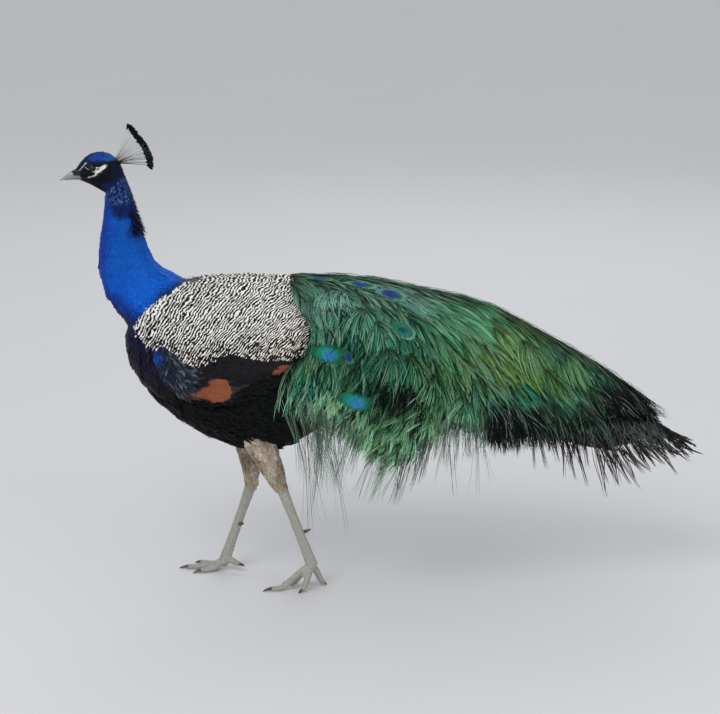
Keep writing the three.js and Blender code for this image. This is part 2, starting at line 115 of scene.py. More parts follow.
def towardsMean(values, group, share):
    # Draws the lines of each group together; values are (n, steps) or (n, steps, 3).
    count = np.bincount(group)
    total = np.zeros((len(count),) + values.shape[1:])
    np.add.at(total, group, values)
    mean = (total.T / np.maximum(count, 1)).T[group]
    return values + (mean - values) * share


def ripple(points, size, seed, waves=7):
    # A smooth, repeatable unevenness from -1 to 1 whose lumps are about size mm across.
    rng = np.random.default_rng(seed)
    total = np.zeros(len(points))
    for _ in range(waves):
        way = unit(rng.normal(size=3)) * rng.uniform(0.6, 1.5) * math.pi / size
        total += np.sin(points @ way + rng.uniform(0, 6.28))
    return np.clip(total / waves * 1.9, -1, 1)


def strokeMask(points, start, end, wideStart, wideEnd, soft=0.5):
    # 1 inside a tapered stroke drawn in side view from start to end, both (x, z), and 0 outside it.
    a, b = np.array(start, float), np.array(end, float)
    flat = points[:, [0, 2]] - a
    along = np.clip(flat @ (b - a) / ((b - a) @ (b - a)), 0, 1)
    away = np.linalg.norm(flat - along[:, None] * (b - a), axis=1)
    return 1 - ramp(-soft, soft, away - (wideStart + (wideEnd - wideStart) * along) / 2)


# Meshes and objects
def cadArrays(*names):
    # Vertices in bird mm and triangles of CAD nodes, doubles merged.
    made = bmesh.new()
    for name in names:
        made.from_mesh(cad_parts[name].data)
    bmesh.ops.remove_doubles(made, verts=made.verts, dist=1e-6)
    bmesh.ops.triangulate(made, faces=made.faces)
    points = np.array([v.co[:] for v in made.verts])
    faces = np.array([[v.index for v in f.verts] for f in made.faces])
    made.free()
    return toBird(points), faces


def inScene(name, data):
    made = bpy.data.objects.new(name, data)
    bpy.context.scene.collection.objects.link(made)
    return made


def setPoints(mesh, points):
    mesh.vertices.foreach_set("co", toFrame(points).astype(np.float32).ravel())


def shadeSmooth(mesh, smooth=True):
    mesh.polygons.foreach_set("use_smooth", np.full(len(mesh.polygons), smooth))


def meshObject(name, points, faces, colours=None, uv=None, local=None, smooth=True):
    # points in bird mm; faces an array of triangles or of quads; uv and local one pair per corner.
    mesh = bpy.data.meshes.new(name)
    mesh.vertices.add(len(points))
    setPoints(mesh, points)
    mesh.loops.add(faces.size)
    mesh.loops.foreach_set("vertex_index", faces.ravel().astype(np.int32))
    mesh.polygons.add(len(faces))
    mesh.polygons.foreach_set("loop_start", np.arange(0, faces.size, faces.shape[1], dtype=np.int32))
    mesh.update(calc_edges=True)
    if colours is not None:
        paint(mesh, colours)
    for title, values in (("OFBake", uv), ("local", local)):
        if values is not None:
            layer = mesh.uv_layers.new(name=title)
            layer.data.foreach_set("uv", np.asarray(values, np.float32).ravel())
    shadeSmooth(mesh, smooth)
    return inScene(name, mesh)


def paint(mesh, colours, title="tone"):
    layer = mesh.attributes.get(title) or mesh.attributes.new(title, "FLOAT_COLOR", "POINT")
    whole = np.ones((len(colours), 4), np.float32)
    whole[:, :3] = colours
    layer.data.foreach_set("color", whole.ravel())


def meshArrays(thing):
    # Points in bird mm, triangles and edges.
    mesh = thing.data
    mesh.calc_loop_triangles()
    found = []
    for items, key, size, kind in ((mesh.vertices, "co", 3, np.float32),
                                   (mesh.loop_triangles, "vertices", 3, np.int32),
                                   (mesh.edges, "vertices", 2, np.int32)):
        values = np.empty(len(items) * size, kind)
        items.foreach_get(key, values)
        found.append(values.reshape(-1, size))
    return toBird(found[0]), found[1], found[2]


def vertexNormals(points, faces):
    corner = points[faces]
    flat = np.cross(corner[:, 1] - corner[:, 0], corner[:, 2] - corner[:, 0])
    total = np.zeros_like(points)
    for i in range(3):
        np.add.at(total, faces[:, i], flat)
    return unit(total)


def spread(values, edges, times, share=0.5):
    # Evens values out along the edges of a mesh.
    values = np.array(values, float)
    count = np.maximum(np.bincount(edges.ravel(), minlength=len(values)), 1)
    for _ in range(times):
        total = np.zeros_like(values)
        np.add.at(total, edges[:, 0], values[edges[:, 1]])
        np.add.at(total, edges[:, 1], values[edges[:, 0]])
        values = values + ((total.T / count).T - values) * share
    return values


def evened(points, edges, times):
    # Smoothing that doesn't shrink the shape: a slightly stronger outward pass follows each inward one.
    for _ in range(times):
        points = spread(points, edges, 1, 0.5)
        points = spread(points, edges, 1, -0.52)
    return points


def baked(thing):
    # The object's mesh with its modifiers applied and removed.
    graph = bpy.context.evaluated_depsgraph_get()
    whole = thing.evaluated_get(graph)
    mesh = bpy.data.meshes.new_from_object(whole, preserve_all_data_layers=True, depsgraph=graph)
    thing.modifiers.clear()
    thing.data = mesh
    return thing


def remeshed(thing, voxel):
    step = thing.modifiers.new("Remesh", "REMESH")
    step.mode = "VOXEL"
    step.voxel_size = voxel / 1000
    return baked(thing)


def finished(thing, material=None, replaces=()):
    if material is not None:
        thing.data.materials.clear()
        thing.data.materials.append(material)
    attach(thing, "root")
    if replaces:
        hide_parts(*replaces)
    return thing


# Materials
def addNode(tree, kind, inputs=None, **settings):
    # Adds a node; inputs maps a socket's name or number to a value, to another node's output, or to a node
    # whose first output is meant.
    node = tree.nodes.new(kind)
    for key, value in settings.items():
        setattr(node, key, value)
    for key, value in (inputs or {}).items():
        if isinstance(value, bpy.types.Node):
            value = value.outputs[0]
        if isinstance(value, bpy.types.NodeSocket):
            tree.links.new(value, node.inputs[key])
        else:
            node.inputs[key].default_value = value
    return node


def newMaterial(name, **values):
    material = bpy.data.materials.new(name)
    material.use_nodes = True
    tree = material.node_tree
    shader = tree.nodes["Principled BSDF"]
    for key, value in values.items():
        shader.inputs[key.replace("_", " ")].default_value = value
    return material, tree, shader


def four(code):
    return (*linear(code), 1.0)


def surfaced(tree, shader, colour, gain, height, strength, depth):
    # Gives the shader the colour times gain, and a bump depth mm high.
    shade = addNode(tree, "ShaderNodeVectorMath", {0: colour, 3: gain}, operation="SCALE")
    bump = addNode(tree, "ShaderNodeBump", {"Strength": strength, "Distance": depth / 1000, "Height": height})
    tree.links.new(shade.outputs[0], shader.inputs["Base Color"])
    tree.links.new(bump.outputs[0], shader.inputs["Normal"])


# Studio
studio = {
    "aim": (198, 0, 437.2),  # the point of the bird that the camera looks at
    "distance": 4000,
    "elevation": 15,
    "lens": 108.1,
    "floorColour": "dcdbdc",
    "floorReach": 40000,
    "lampSize": 2.4,
    "keyPower": 62,
    "fillPower": 16,
    "skyStrength": 0.66,
}


def addLamp(name, place, aim, power):
    lamp = bpy.data.lights.new(name, "AREA")
    lamp.shape = "DISK"
    lamp.size = studio["lampSize"]
    lamp.energy = power
    thing = inScene(name, lamp)
    thing.location = place
    thing.rotation_euler = (aim - Vector(place)).to_track_quat("-Z", "Y").to_euler()


def buildStudio():
    scene = bpy.context.scene
    scene.view_settings.view_transform = "Standard"
    aim = Vector(toFrame([studio["aim"]])[0])
    tilt = math.radians(studio["elevation"])
    lens = bpy.data.cameras.new("camera")
    lens.lens = studio["lens"]
    lens.sensor_width = 36
    lens.clip_end = 200
    camera = inScene("camera", lens)
    camera.location = aim + Vector((0, -math.cos(tilt), math.sin(tilt))) * studio["distance"] / 1000
    camera.rotation_euler = (math.pi / 2 - tilt, 0, 0)
    scene.camera = camera

    world = bpy.data.worlds.new("studio")
    scene.world = world
    world.use_nodes = True
    sky = world.node_tree.nodes["Background"]
    sky.inputs["Color"].default_value = (0.93, 0.96, 1.0, 1)
    sky.inputs["Strength"].default_value = studio["skyStrength"]
    addLamp("key", (-1.6, -2.6, 3.6), aim, studio["keyPower"])
    addLamp("fill", (2.8, -2.4, 1.6), aim, studio["fillPower"])
    addLamp("back", (0.6, 3.2, 2.6), aim, studio["fillPower"])

    # Floor: matt painted board, rolled, so it has a faint stipple and no shine.
    board, tree, shader = newMaterial("paintedFloorBoard", Roughness=0.85)
    place = addNode(tree, "ShaderNodeTexCoord").outputs["Object"]
    cloud = addNode(tree, "ShaderNodeTexNoise", {"Vector": place, "Scale": 1.5, "Detail": 3.0})
    tint = addNode(tree, "ShaderNodeMix", {0: cloud.outputs["Fac"], 6: four("e0dfe0"),
                                           7: four(studio["floorColour"])}, data_type="RGBA")
    tree.links.new(tint.outputs[2], shader.inputs["Base Color"])
    corners = np.array([(-1, -1, 0), (1, -1, 0), (1, 1, 0), (-1, 1, 0)], float) * studio["floorReach"]
    floor = meshObject("floor", corners, np.array([[0, 1, 2, 3]]), smooth=False)
    floor.data.materials.append(board)
    print("studio ready")


buildStudio()


# Skin: one closed surface for head, neck, trunk, wings, thighs and feet
skinSizes = {
    "voxel": 3.0,
    "overlap": 0.5,  # pushes the flesh nodes into each other before they are joined
    "smoothing": 12,
    "coat": {"head": 0.9, "neck_upper": 1.4, "neck_middle": 1.8, "neck_lower": 2.4, "trunk": 3.4,
             "shoulder": 2.8, "secondaries": 2.6, "primaries": 2.6, "thigh": 2.6, "shank": 0.4,
             "toe": 0.4},  # how deep the skin lies under the plumage
    "eye": {"long": 5.2, "high": 4.6, "tilt": -14, "rim": 0.8, "sunk": 5.5, "ball": 6.9},
}
sides = (("left", -1), ("right", 1))
wingParts = ("shoulder", "secondaries", "primaries")
toeNames = ("middle", "outer", "inner", "hind")
fleshNodes = ["head", "neck_upper", "neck_middle", "neck_lower", "trunk"]
for word, _ in sides:
    fleshNodes += [f"wing_{word}_{part}" for part in wingParts] + [f"thigh_{word}", f"shank_{word}"]
    fleshNodes += [f"toe_{word}_{toe}" for toe in toeNames]


def coatKind(node):
    # The skinSizes key that a flesh node's coat goes by.
    return next(kind for kind in skinSizes["coat"] if node == kind or kind in node.split("_"))


class Region:
    # Finds the flesh node nearest to each of many points.
    def __init__(self, names):
        parts = [cadArrays(name) for name in names]
        points, faces = joined(parts)
        self.tree = BVHTree.FromPolygons(points.tolist(), faces.tolist())
        self.owner = np.repeat(np.arange(len(parts)), [len(faces) for _, faces in parts])

    def near(self, points):
        return self.owner[[self.tree.find_nearest(p)[2] for p in points.tolist()]]

    def closest(self, points):
        return np.array([self.tree.find_nearest(p)[0][:] for p in points.tolist()])


def splitFaces(thing, inside):
    # Halves every edge that lies in the part of the skin that inside(points) marks.
    made = bmesh.new()
    made.from_mesh(thing.data)
    made.verts.ensure_lookup_table()
    marked = inside(toBird([v.co[:] for v in made.verts]))
    edges = [e for e in made.edges if marked[e.verts[0].index] and marked[e.verts[1].index]]
    bmesh.ops.subdivide_edges(made, edges=edges, cuts=1, use_grid_fill=True)
    made.to_mesh(thing.data)
    made.free()


def movePoints(thing, points):
    setPoints(thing.data, points)
    thing.data.update()


def smoothPart(thing, inside, times):
    points, _, edges = meshArrays(thing)
    soft = spread(inside(points).astype(float), edges, 3)
    moved = evened(points, edges, times)
    movePoints(thing, points + (moved - points) * soft[:, None])


def onHead(p):
    return (p[:, 2] > 735) & (p[:, 0] < -225)


def onEye(p):
    return (np.abs(p[:, 0] - eyeX) < 10) & (np.abs(p[:, 2] - eyeZ) < 10) & (np.abs(p[:, 1]) > 9)


def onFoot(p):
    return p[:, 2] < 172


def buildSkin():
    points, faces = cadArrays(*fleshNodes)
    points = points + vertexNormals(points, faces) * skinSizes["overlap"]
    skin = remeshed(meshObject("skin", points, faces), skinSizes["voxel"])
    points, _, edges = meshArrays(skin)
    movePoints(skin, evened(points, edges, skinSizes["smoothing"]))
    for inside, passes in ((onHead, 4), (onFoot, 3), (onHead, 4), (onEye, 2)):
        splitFaces(skin, inside)
        smoothPart(skin, inside, passes)
    points, faces, edges = meshArrays(skin)
    flesh = Region(fleshNodes)
    depth = np.array([skinSizes["coat"][coatKind(n)] for n in fleshNodes])[flesh.near(points)]
    depth = spread(depth, edges, 6)
    normals = vertexNormals(points, faces)
    proud = ((points - flesh.closest(points)) * normals).sum(1)  # how far the skin stands off the solids
    points = points - normals * spread(np.clip(proud, -3, 3) + depth, edges, 4)[:, None]
    points = sculptFace(points, vertexNormals(points, faces))
    points[:, 2] = np.maximum(points[:, 2], 0.15)
    movePoints(skin, points)
    shadeSmooth(skin.data)
    print("skin", len(points), "points", len(faces), "triangles")
    return skin


def eyeShare(points):
    # 0 at the middle of the eye, 1 on the edge of the lids.
    size = skinSizes["eye"]
    turn = math.radians(size["tilt"])
    dx, dz = points[:, 0] - eyeX, points[:, 2] - eyeZ
    along = dx * math.cos(turn) + dz * math.sin(turn)
    up = -dx * math.sin(turn) + dz * math.cos(turn)
    return np.hypot(along / size["long"], up / size["high"])


def sculptFace(points, normals):
    # Opens the lids over each eye, with a low ring round them, and sinks the lore in front of it a little.
    size = skinSizes["eye"]
    share = np.where(np.abs(points[:, 1]) > 7, eyeShare(points), 9)
    ring = np.exp(-((share - 1.22) / 0.17) ** 2) * size["rim"]
    hollow = (1 - ramp(0.86, 1.04, share)) * size["sunk"]
    lore = strokeMask(points, (-309, 781), (-295, 789), 5, 9, 4) * 0.8
    cheek = strokeMask(points, (-292, 777), (-266, 787), 5, 7, 5) * 0.5
    side = ramp(3, 9, np.abs(points[:, 1]))
    return points + normals * ((ring + (cheek - lore) * side - hollow)[:, None])


skin = buildSkin()
skinPoints, skinFaces, skinEdges = meshArrays(skin)
skinNormals = vertexNormals(skinPoints, skinFaces)
skinOwner = Region(fleshNodes).near(skinPoints)
skinKind = np.array([coatKind(n) for n in fleshNodes])[skinOwner]


# Plumage colours, the same for skin and feathers
tones = linears({
    "cobalt": "1a4a9e", "crownTeal": "1f5f9c", "crownBand": "0e2140", "brow": "16202a", "hindhead": "0a1430",
    "faceBlack": "0a0c14", "bare": "dcdfd8", "fleck": "5c7fb4", "nape": "070b1c", "horn": "7b7a7b",
    "throat": "0c1216", "navy": "0b2258", "neckViolet": "0f3aa0", "neckDusk": "1c378c", "neckBlue": "0b56b4",
    "neckBright": "0b5ac4", "rim": "0a2430", "royal": "0e3a94", "indigo": "121a52", "breast": "17132a",
    "belly": "100f12", "bellyGreen": "0c110e", "mantle": "3c4f52", "mantleGreen": "1d4a40", "buff": "f6f3ec",
    "ochre": "e2cfae", "wingDark": "161418", "wingBlue": "101c2e", "wingSpot": "1b4fb0", "wingGrey": "6c7680",
    "rust": "96563a", "rustDark": "6a3a28", "thigh": "96836e", "thighPale": "cfc2ae", "thighDark": "4d4036",
    "scale": "a8a49b",
})

# Side-view outlines of the body's markings, each a ring of (x, z).
markings = {
    "barred": [(-217, 521), (-204, 541), (-182, 562), (-160, 574), (-136, 582), (-110, 587), (-98, 640),
               (62, 640), (66, 590), (76, 571), (89, 548), (107, 524), (113, 512), (107, 492), (92, 471),
               (62, 463), (26, 461), (-4, 466), (-43, 474), (-64, 474), (-81, 459), (-103, 452), (-129, 460),
               (-146, 475), (-163, 489), (-181, 477), (-201, 490), (-214, 504)],
    "wing": [(-184, 480), (-180, 462), (-169, 443), (-155, 422), (-137, 396), (-116, 385), (-87, 378),
             (-65, 375), (-39, 380), (-26, 404), (14, 420), (40, 435), (72, 447), (94, 466), (107, 494),
             (0, 520), (-120, 520), (-165, 496)],
    "rust": [(-106, 390), (-96, 388), (-84, 385), (-74, 379), (-58, 378), (-46, 386), (-41, 398), (-42, 411),
             (-50, 422), (-62, 425), (-75, 419), (-85, 408), (-93, 399), (-106, 397)],
    "rustSliver": [(-132, 396), (-104, 384), (-102, 404), (-118, 404)],
    "rustRear": [(26, 429), (40, 435), (60, 446), (57, 456), (40, 448), (28, 438)],
}

# The white bare skin in side view: start, end and width at each of its strokes.
bareStrokes = [
    ((-309, 788), (-295.8, 802.4), 1.6, 2.4), ((-298, 795), (-288, 788.6), 0.9, 1.3),
    ((-287, 787.8), (-279.5, 787.2), 1.6, 1.3), ((-279.5, 787.2), (-276.4, 792), 1.3, 1.2),
    ((-276, 794.5), (-256.5, 803), 2.4, 2.0), ((-281, 781.6), (-263, 797.5), 3.0, 9),
    ((-294.6, 775.3), (-278, 781.5), 1.2, 3.4),
]


def layered(colour, *layers):
    # Lays colours over one another; each layer is the name of a tone, or colours, and its share.
    for tone, share in layers:
        colour = mixed(colour, tones[tone] if isinstance(tone, str) else tone, share)
    return colour


def insideOf(p, name, soft=3.0):
    # 1 inside a marking and 0 outside it, changing over soft mm each way.
    ring = np.array(markings[name], float)
    a, b = ring, np.roll(ring, -1, 0)
    flat = p[:, None, [0, 2]]
    step = b - a
    along = np.clip(((flat - a) * step).sum(2) / (step ** 2).sum(1), 0, 1)
    away = np.linalg.norm(flat - a - along[:, :, None] * step, axis=2).min(1)
    x, z = p[:, 0:1], p[:, 2:3]
    rise = np.where(step[:, 1] == 0, 1e-9, step[:, 1])
    crossing = ((a[:, 1] > z) != (b[:, 1] > z)) & (x < a[:, 0] + (z - a[:, 1]) * step[:, 0] / rise)
    inside = crossing.sum(1) % 2 == 1
    return ramp(-soft, soft, np.where(inside, away, -away))


def bareFace(p):
    # A slanting line in front of the eye, another under it, and the patch behind the eye.
    return np.max([strokeMask(p, *stroke) for stroke in bareStrokes], axis=0) * ramp(4, 8, np.abs(p[:, 1]))


def gape(p):
    # The horn's corner, running back under the eye between the dark feathers.
    return strokeMask(p, (-322, 778), (-308.5, 774.2), 3.0, 1.0, 1.2)


def headTone(p):
    x, z = p[:, 0], p[:, 2]
    uneven = ripple(p, 5, 11)
    crown = mixed(tones["cobalt"], tones["crownTeal"], ramp(-272, -250, x + 4 * uneven))
    crown = mixed(tones["brow"], crown, ramp(-300, -278, x + 3 * uneven))
    colour = mixed(tones["crownBand"], crown, ramp(804, 811, z + 1.5 * uneven))
    colour = mixed(tones["faceBlack"], colour, ramp(797, 803, z - 0.25 * (x - eyeX)))
    return layered(
        colour,
        ("hindhead", ramp(-256, -246, x + 2 * uneven) * (1 - ramp(801, 810, z))),
        ("throat", (1 - ramp(748, 768, z)) * (1 - ramp(-272, -262, x))),
        ("navy", ramp(-272, -262, x + 2 * uneven) * (1 - ramp(762, 776, z))),
        ("horn", gape(p)),
        ("bare", bareFace(p)))


def neckTone(p):
    x, z = p[:, 0], p[:, 2]
    uneven = ripple(p, 22, 12)
    front = 1 - ramp(-262, -236, x + 0.12 * (700 - z) + 5 * uneven)
    violet = ramp(-278, -262, x) * ramp(668, 700, z)
    rim = insideOf(p + [0, 0, -9], "barred", 10) * ramp(-200, -165, x)
    dark = 1 - ramp(455, 590, z + 0.62 * (x + 215) + 9 * uneven)
    return layered(
        tones["neckBlue"],
        ("neckViolet", front * 0.7),
        ("neckBright", (1 - ramp(560, 640, z)) * (1 - front * 0.6)),
        ("neckDusk", np.clip(1 - violet, 0, 1) * ramp(672, 706, z + 8 * uneven)),
        ("navy", ramp(-9, 9, z - 750 + 0.95 * (x + 275) + 12 * uneven)),
        ("nape", ramp(-224, -212, x + 5 * uneven + 0.3 * (700 - z)) * ramp(655, 690, z) * 0.7),
        ("rim", np.clip(rim * 1.4, 0, 1) * 0.8),
        ("royal", ramp(0, 0.35, dark)),
        ("indigo", ramp(0.3, 0.62, dark)),
        ("breast", ramp(0.5, 0.95, dark)),
        ("throat", ramp(738, 750, z) * (1 - ramp(-274, -262, x))))


def trunkTone(p):
    x, z = p[:, 0], p[:, 2]
    uneven = ripple(p, 30, 13)
    belly = mixed(tones["belly"], tones["bellyGreen"], ramp(-60, 90, x + 20 * uneven))
    colour = mixed(belly, neckTone(p), ramp(0, 1, ramp(385, 460, z + 8 * uneven) * (1 - ramp(-170, -60, x))))
    mantle = mixed(tones["mantle"], tones["mantleGreen"], ramp(-60, 90, x + 16 * uneven))
    return mixed(colour, mantle, ramp(500, 545, z) * ramp(-150, -120, x))


def wingTone(p):
    # Dark wing below the barred coverts: blue-black at the wrist, brown-black behind, rust at the primaries.
    x, z = p[:, 0], p[:, 2]
    return layered(
        tones["wingBlue"],
        ("wingDark", ramp(-125, -95, x)),
        # Painted sheen: a blue gloss spot on the wrist.
        ("wingSpot", blob(x, z, -174, 466, 7, 10)),
        (tones["rustDark"] * 0.8, insideOf(p, "rustSliver")),
        (tones["rust"] * 0.8, insideOf(p, "rustRear", 2)),
        ("rust", insideOf(p, "rust", 2)))


def primaryShare(p):
    # Where the rust primaries show: the bunch and the one thin edge that runs on behind it.
    return np.maximum(insideOf(p, "rust", 2), strokeMask(p, (-44, 398), (12, 412), 2.6, 1.6, 1))


def barredTone(p):
    x, z = p[:, 0], p[:, 2]
    uneven = ripple(p, 26, 14)
    warm = ramp(-40, 60, x + 16 * uneven) * (1 - ramp(480, 540, z + 14 * uneven))
    warm = np.clip(warm + 0.5 * (1 - ramp(470, 505, z)), 0, 1)
    return mixed(tones["buff"], tones["ochre"], warm * 0.35)


def backStrip(p):
    # The scaly green strip along the middle of the back, between the barred feathers of the two sides.
    wide = 9 - 18 * ramp(-112, -62, p[:, 0])  # it closes where the barred feathers meet
    return (1 - ramp(wide, wide + 6, np.abs(p[:, 1]))) * ramp(555, 570, p[:, 2]) * ramp(-150, -125, p[:, 0])


def isBarred(p):
    middle = (1 - ramp(22, 36, np.abs(p[:, 1]))) * (1 - ramp(-150, -115, p[:, 0]))
    return insideOf(p, "barred") * (1 - np.maximum(backStrip(p), middle))


def onBody(kind):
    return np.isin(kind, ("trunk", "neck_lower", "shoulder", "secondaries", "primaries"))


def bodyTone(p, kind, marked=True):
    colour = trunkTone(p)
    for name in ("head", "neck_upper", "neck_middle", "neck_lower"):
        colour[kind == name] = (headTone if name == "head" else neckTone)(p[kind == name])
    body = onBody(kind) & marked
    colour[body] = mixed(colour[body], wingTone(p[body]), insideOf(p[body], "wing"))
    colour[body] = mixed(colour[body], barredTone(p[body]), isBarred(p[body]))
    fluff = mixed(tones["thigh"], tones["thighPale"], 0.5 + 0.45 * ripple(p, 16, 15))
    fluff = mixed(fluff, tones["thighDark"], ramp(0.3, 0.9, ripple(p, 9, 16)) * 0.3)
    colour[kind == "thigh"] = fluff[kind == "thigh"]
    colour[(kind == "shank") | (kind == "toe")] = tones["scale"]
    return colour


# Lie of the plumage: the way that feathers point
def plumageFlow():
    x, _, z = skinPoints.T

    def heading(back, rise):
        return np.stack([back + 0 * x, 0 * x, rise + 0 * x], 1)

    neck = heading(0.02 + 0.75 * (1 - ramp(560, 690, z)) * ramp(-250, -190, x), -1)
    drop = np.interp(x, [-235, -190, -120, -40, 60, 214], [1.5, 1.0, 0.45, 0.15, -0.05, -0.1])
    flight = heading(1, np.interp(x, [-180, -135, -95, 0, 128], [-2.2, -1.1, 0.1, 0.2, 0.25]))
    leg = heading(0.25, -1)
    toe = np.zeros_like(skinPoints)
    for i, node in enumerate(fleshNodes):
        if node.startswith("toe_"):
            claw = toBird(sum(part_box(node.replace("toe", "claw")), Vector()) / 2)
            toe[skinOwner == i] = claw - toBird(sum(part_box(node), Vector()) / 2)
    ways = {"head": heading(1, -0.35 - 0.9 * ramp(-290, -245, x)), "trunk": heading(1, -drop),
            "shoulder": heading(1, -np.interp(x, [-220, -120, 0, 110], [0.75, 0.75, 0.6, 0.35])),
            "neck_upper": neck, "neck_middle": neck, "neck_lower": neck, "secondaries": flight,
            "primaries": flight, "thigh": leg, "shank": leg, "toe": toe}
    flow = np.zeros_like(skinPoints)
    for kind, way in ways.items():
        flow[skinKind == kind] = way[skinKind == kind]
    flow = spread(unit(flow), skinEdges, 8)
    flow -= (flow * skinNormals).sum(1, keepdims=True) * skinNormals
    return unit(flow)


skinFlow = plumageFlow()
skinTone = bodyTone(skinPoints, skinKind)


class Roots:
    # Places on the skin where feathers grow, thinned so that they stand one spacing apart.
    def __init__(self, chosen, sizes, seed):
        rng = np.random.default_rng(seed)
        spacing = coatSizes[sizes][0]
        faces = skinFaces[chosen[skinFaces].all(1)]
        corner = skinPoints[faces]
        area = np.linalg.norm(np.cross(corner[:, 1] - corner[:, 0], corner[:, 2] - corner[:, 0]), axis=1) / 2
        count = int(area.sum() / spacing ** 2 * 5)
        pick = np.searchsorted(np.cumsum(area) / area.sum(), rng.random(count)).clip(0, len(faces) - 1)
        share = rng.dirichlet((1, 1, 1), count)
        at = (skinPoints[faces[pick]] * share[:, :, None]).sum(1)
        cell = np.floor(at / (spacing * 0.93)).astype(np.int64) + 4000
        _, keep = np.unique(cell @ [100000000, 10000, 1], return_index=True)
        faces, share = faces[pick[keep]], share[keep]
        self.sizes = sizes
        self.at = at[keep]
        self.normal, self.flow = (unit((values[faces] * share[:, :, None]).sum(1))
                                  for values in (skinNormals, skinFlow))
        self.kind = skinKind[faces[:, 0]]
        self.count = len(self.at)

    @property
    def x(self):
        return self.at[:, 0]

    @property
    def z(self):
        return self.at[:, 2]

    def kept(self, mask):
        for key in ("at", "normal", "flow", "kind"):
            setattr(self, key, getattr(self, key)[mask])
        self.count = len(self.at)


spine = np.array([(-312, 779), (-284, 790), (-258, 782), (-243, 752), (-236, 690), (-232, 634), (-205, 560),
                  (-140, 480), (-60, 440), (40, 430), (140, 450), (214, 470)], float)


def bodyUnwrap(p):
    # The skin unrolled round the spine: u runs along it from bill to rump and v round it.
    a, b = spine[:-1], spine[1:]
    step = b - a
    size = np.linalg.norm(step, axis=1)
    start = np.cumsum(size) - size
    flat = p[:, None, [0, 2]] - a
    along = np.clip((flat * step).sum(2) / size ** 2, 0, 1)
    off = flat - along[:, :, None] * step
    best = np.argmin(np.linalg.norm(off, axis=2), axis=1)
    row = np.arange(len(p))
    above = step[best][:, 0] * off[row, best][:, 1] - step[best][:, 1] * off[row, best][:, 0]
    u = (start[best] + along[row, best] * size[best]) / size.sum()
    v = np.arctan2(p[:, 1], above / size[best]) / (2 * math.pi) + 0.5
    return np.stack([0.02 + 0.96 * u, 0.02 + 0.96 * v], 1)


def legUnwrap(p):
    # Each leg unrolled round its own middle, the left one in the lower half of the map.
    left = p[:, 1] < 0
    middle = np.interp(p[:, 2], [170, 200, 260, 340], [0, 30, 10, -6])
    turn = np.arctan2(p[:, 0] - middle, np.abs(p[:, 1]) - 50) / (2 * math.pi) + 0.5
    u = (p[:, 2] / 380).clip(0, 1)
    return np.stack([0.02 + 0.96 * u, 0.02 + 0.46 * turn + np.where(left, 0, 0.5)], 1)


# Feather shapes: x across from -0.5 to 0.5, y from root to tip, z away from the skin
def bladeShape(widths, cup=0.1, arch=0.05, curl=0.0, columns=2):
    # One vane; widths are shares of its full width at even steps from root to tip.
    rows = len(widths)
    across = np.linspace(-0.5, 0.5, columns + 1)
    along = np.linspace(0, 1, rows)
    x = across[None, :] * np.array(widths)[:, None]
    y = np.repeat(along[:, None], columns + 1, 1) - 0.06 * np.abs(across[None, :]) * along[:, None]
    z = arch * np.sin(math.pi * y) - cup * (2 * x) ** 2 + curl * y ** 3
    local = np.stack([across + 0.5 + 0 * x, along[:, None] + 0 * x], 2).reshape(-1, 2)
    return np.stack([x, y, z], 2).reshape(-1, 3), gridFaces(rows, columns + 1), local


def tuftShape(blades, spreadAngle, widths, seed, fall=0.12):
    # Several narrow blades that fan out of one root, for loose, hair-like feathers.
    rng = np.random.default_rng(seed)
    parts = []
    for i in range(blades):
        points, faces, local = bladeShape(widths, 0.0, 0.06, columns=1)
        turn = spreadAngle * ((i + 0.5) / blades - 0.5) * 2 + rng.uniform(-0.05, 0.05)
        long = rng.uniform(0.78, 1)
        bend = turn * (0.5 + 0.5 * points[:, 1])
        x = points[:, 0] * 0.42 + long * points[:, 1] * np.sin(bend)
        y = long * points[:, 1] * np.cos(bend)
        z = points[:, 2] + rng.uniform(-0.3, 1) * fall * points[:, 1] ** 1.5
        parts.append((np.stack([x, y, z], 1), faces, local * [1 / blades, 1] + [i / blades, 0]))
    return joined(parts)


contour = bladeShape([0.3, 0.78, 1.0, 0.96, 0.66, 0.1], 0.12, 0.05)
scaleLike = bladeShape([0.35, 0.85, 1.0, 1.0, 0.82, 0.3], 0.1, 0.05)
velvet = bladeShape([0.5, 1.0, 0.85, 0.15], 0.1, 0.06, columns=1)
hackle = bladeShape([0.4, 0.9, 1.0, 0.7, 0.4, 0.05], 0.1, 0.04, 0.1)
looseTuft = tuftShape(5, 0.42, [0.5, 0.8, 0.7, 0.45, 0.04], 21)
scute = bladeShape([0.75, 0.95, 1.0, 0.92, 0.5], 0.16, 0.04)


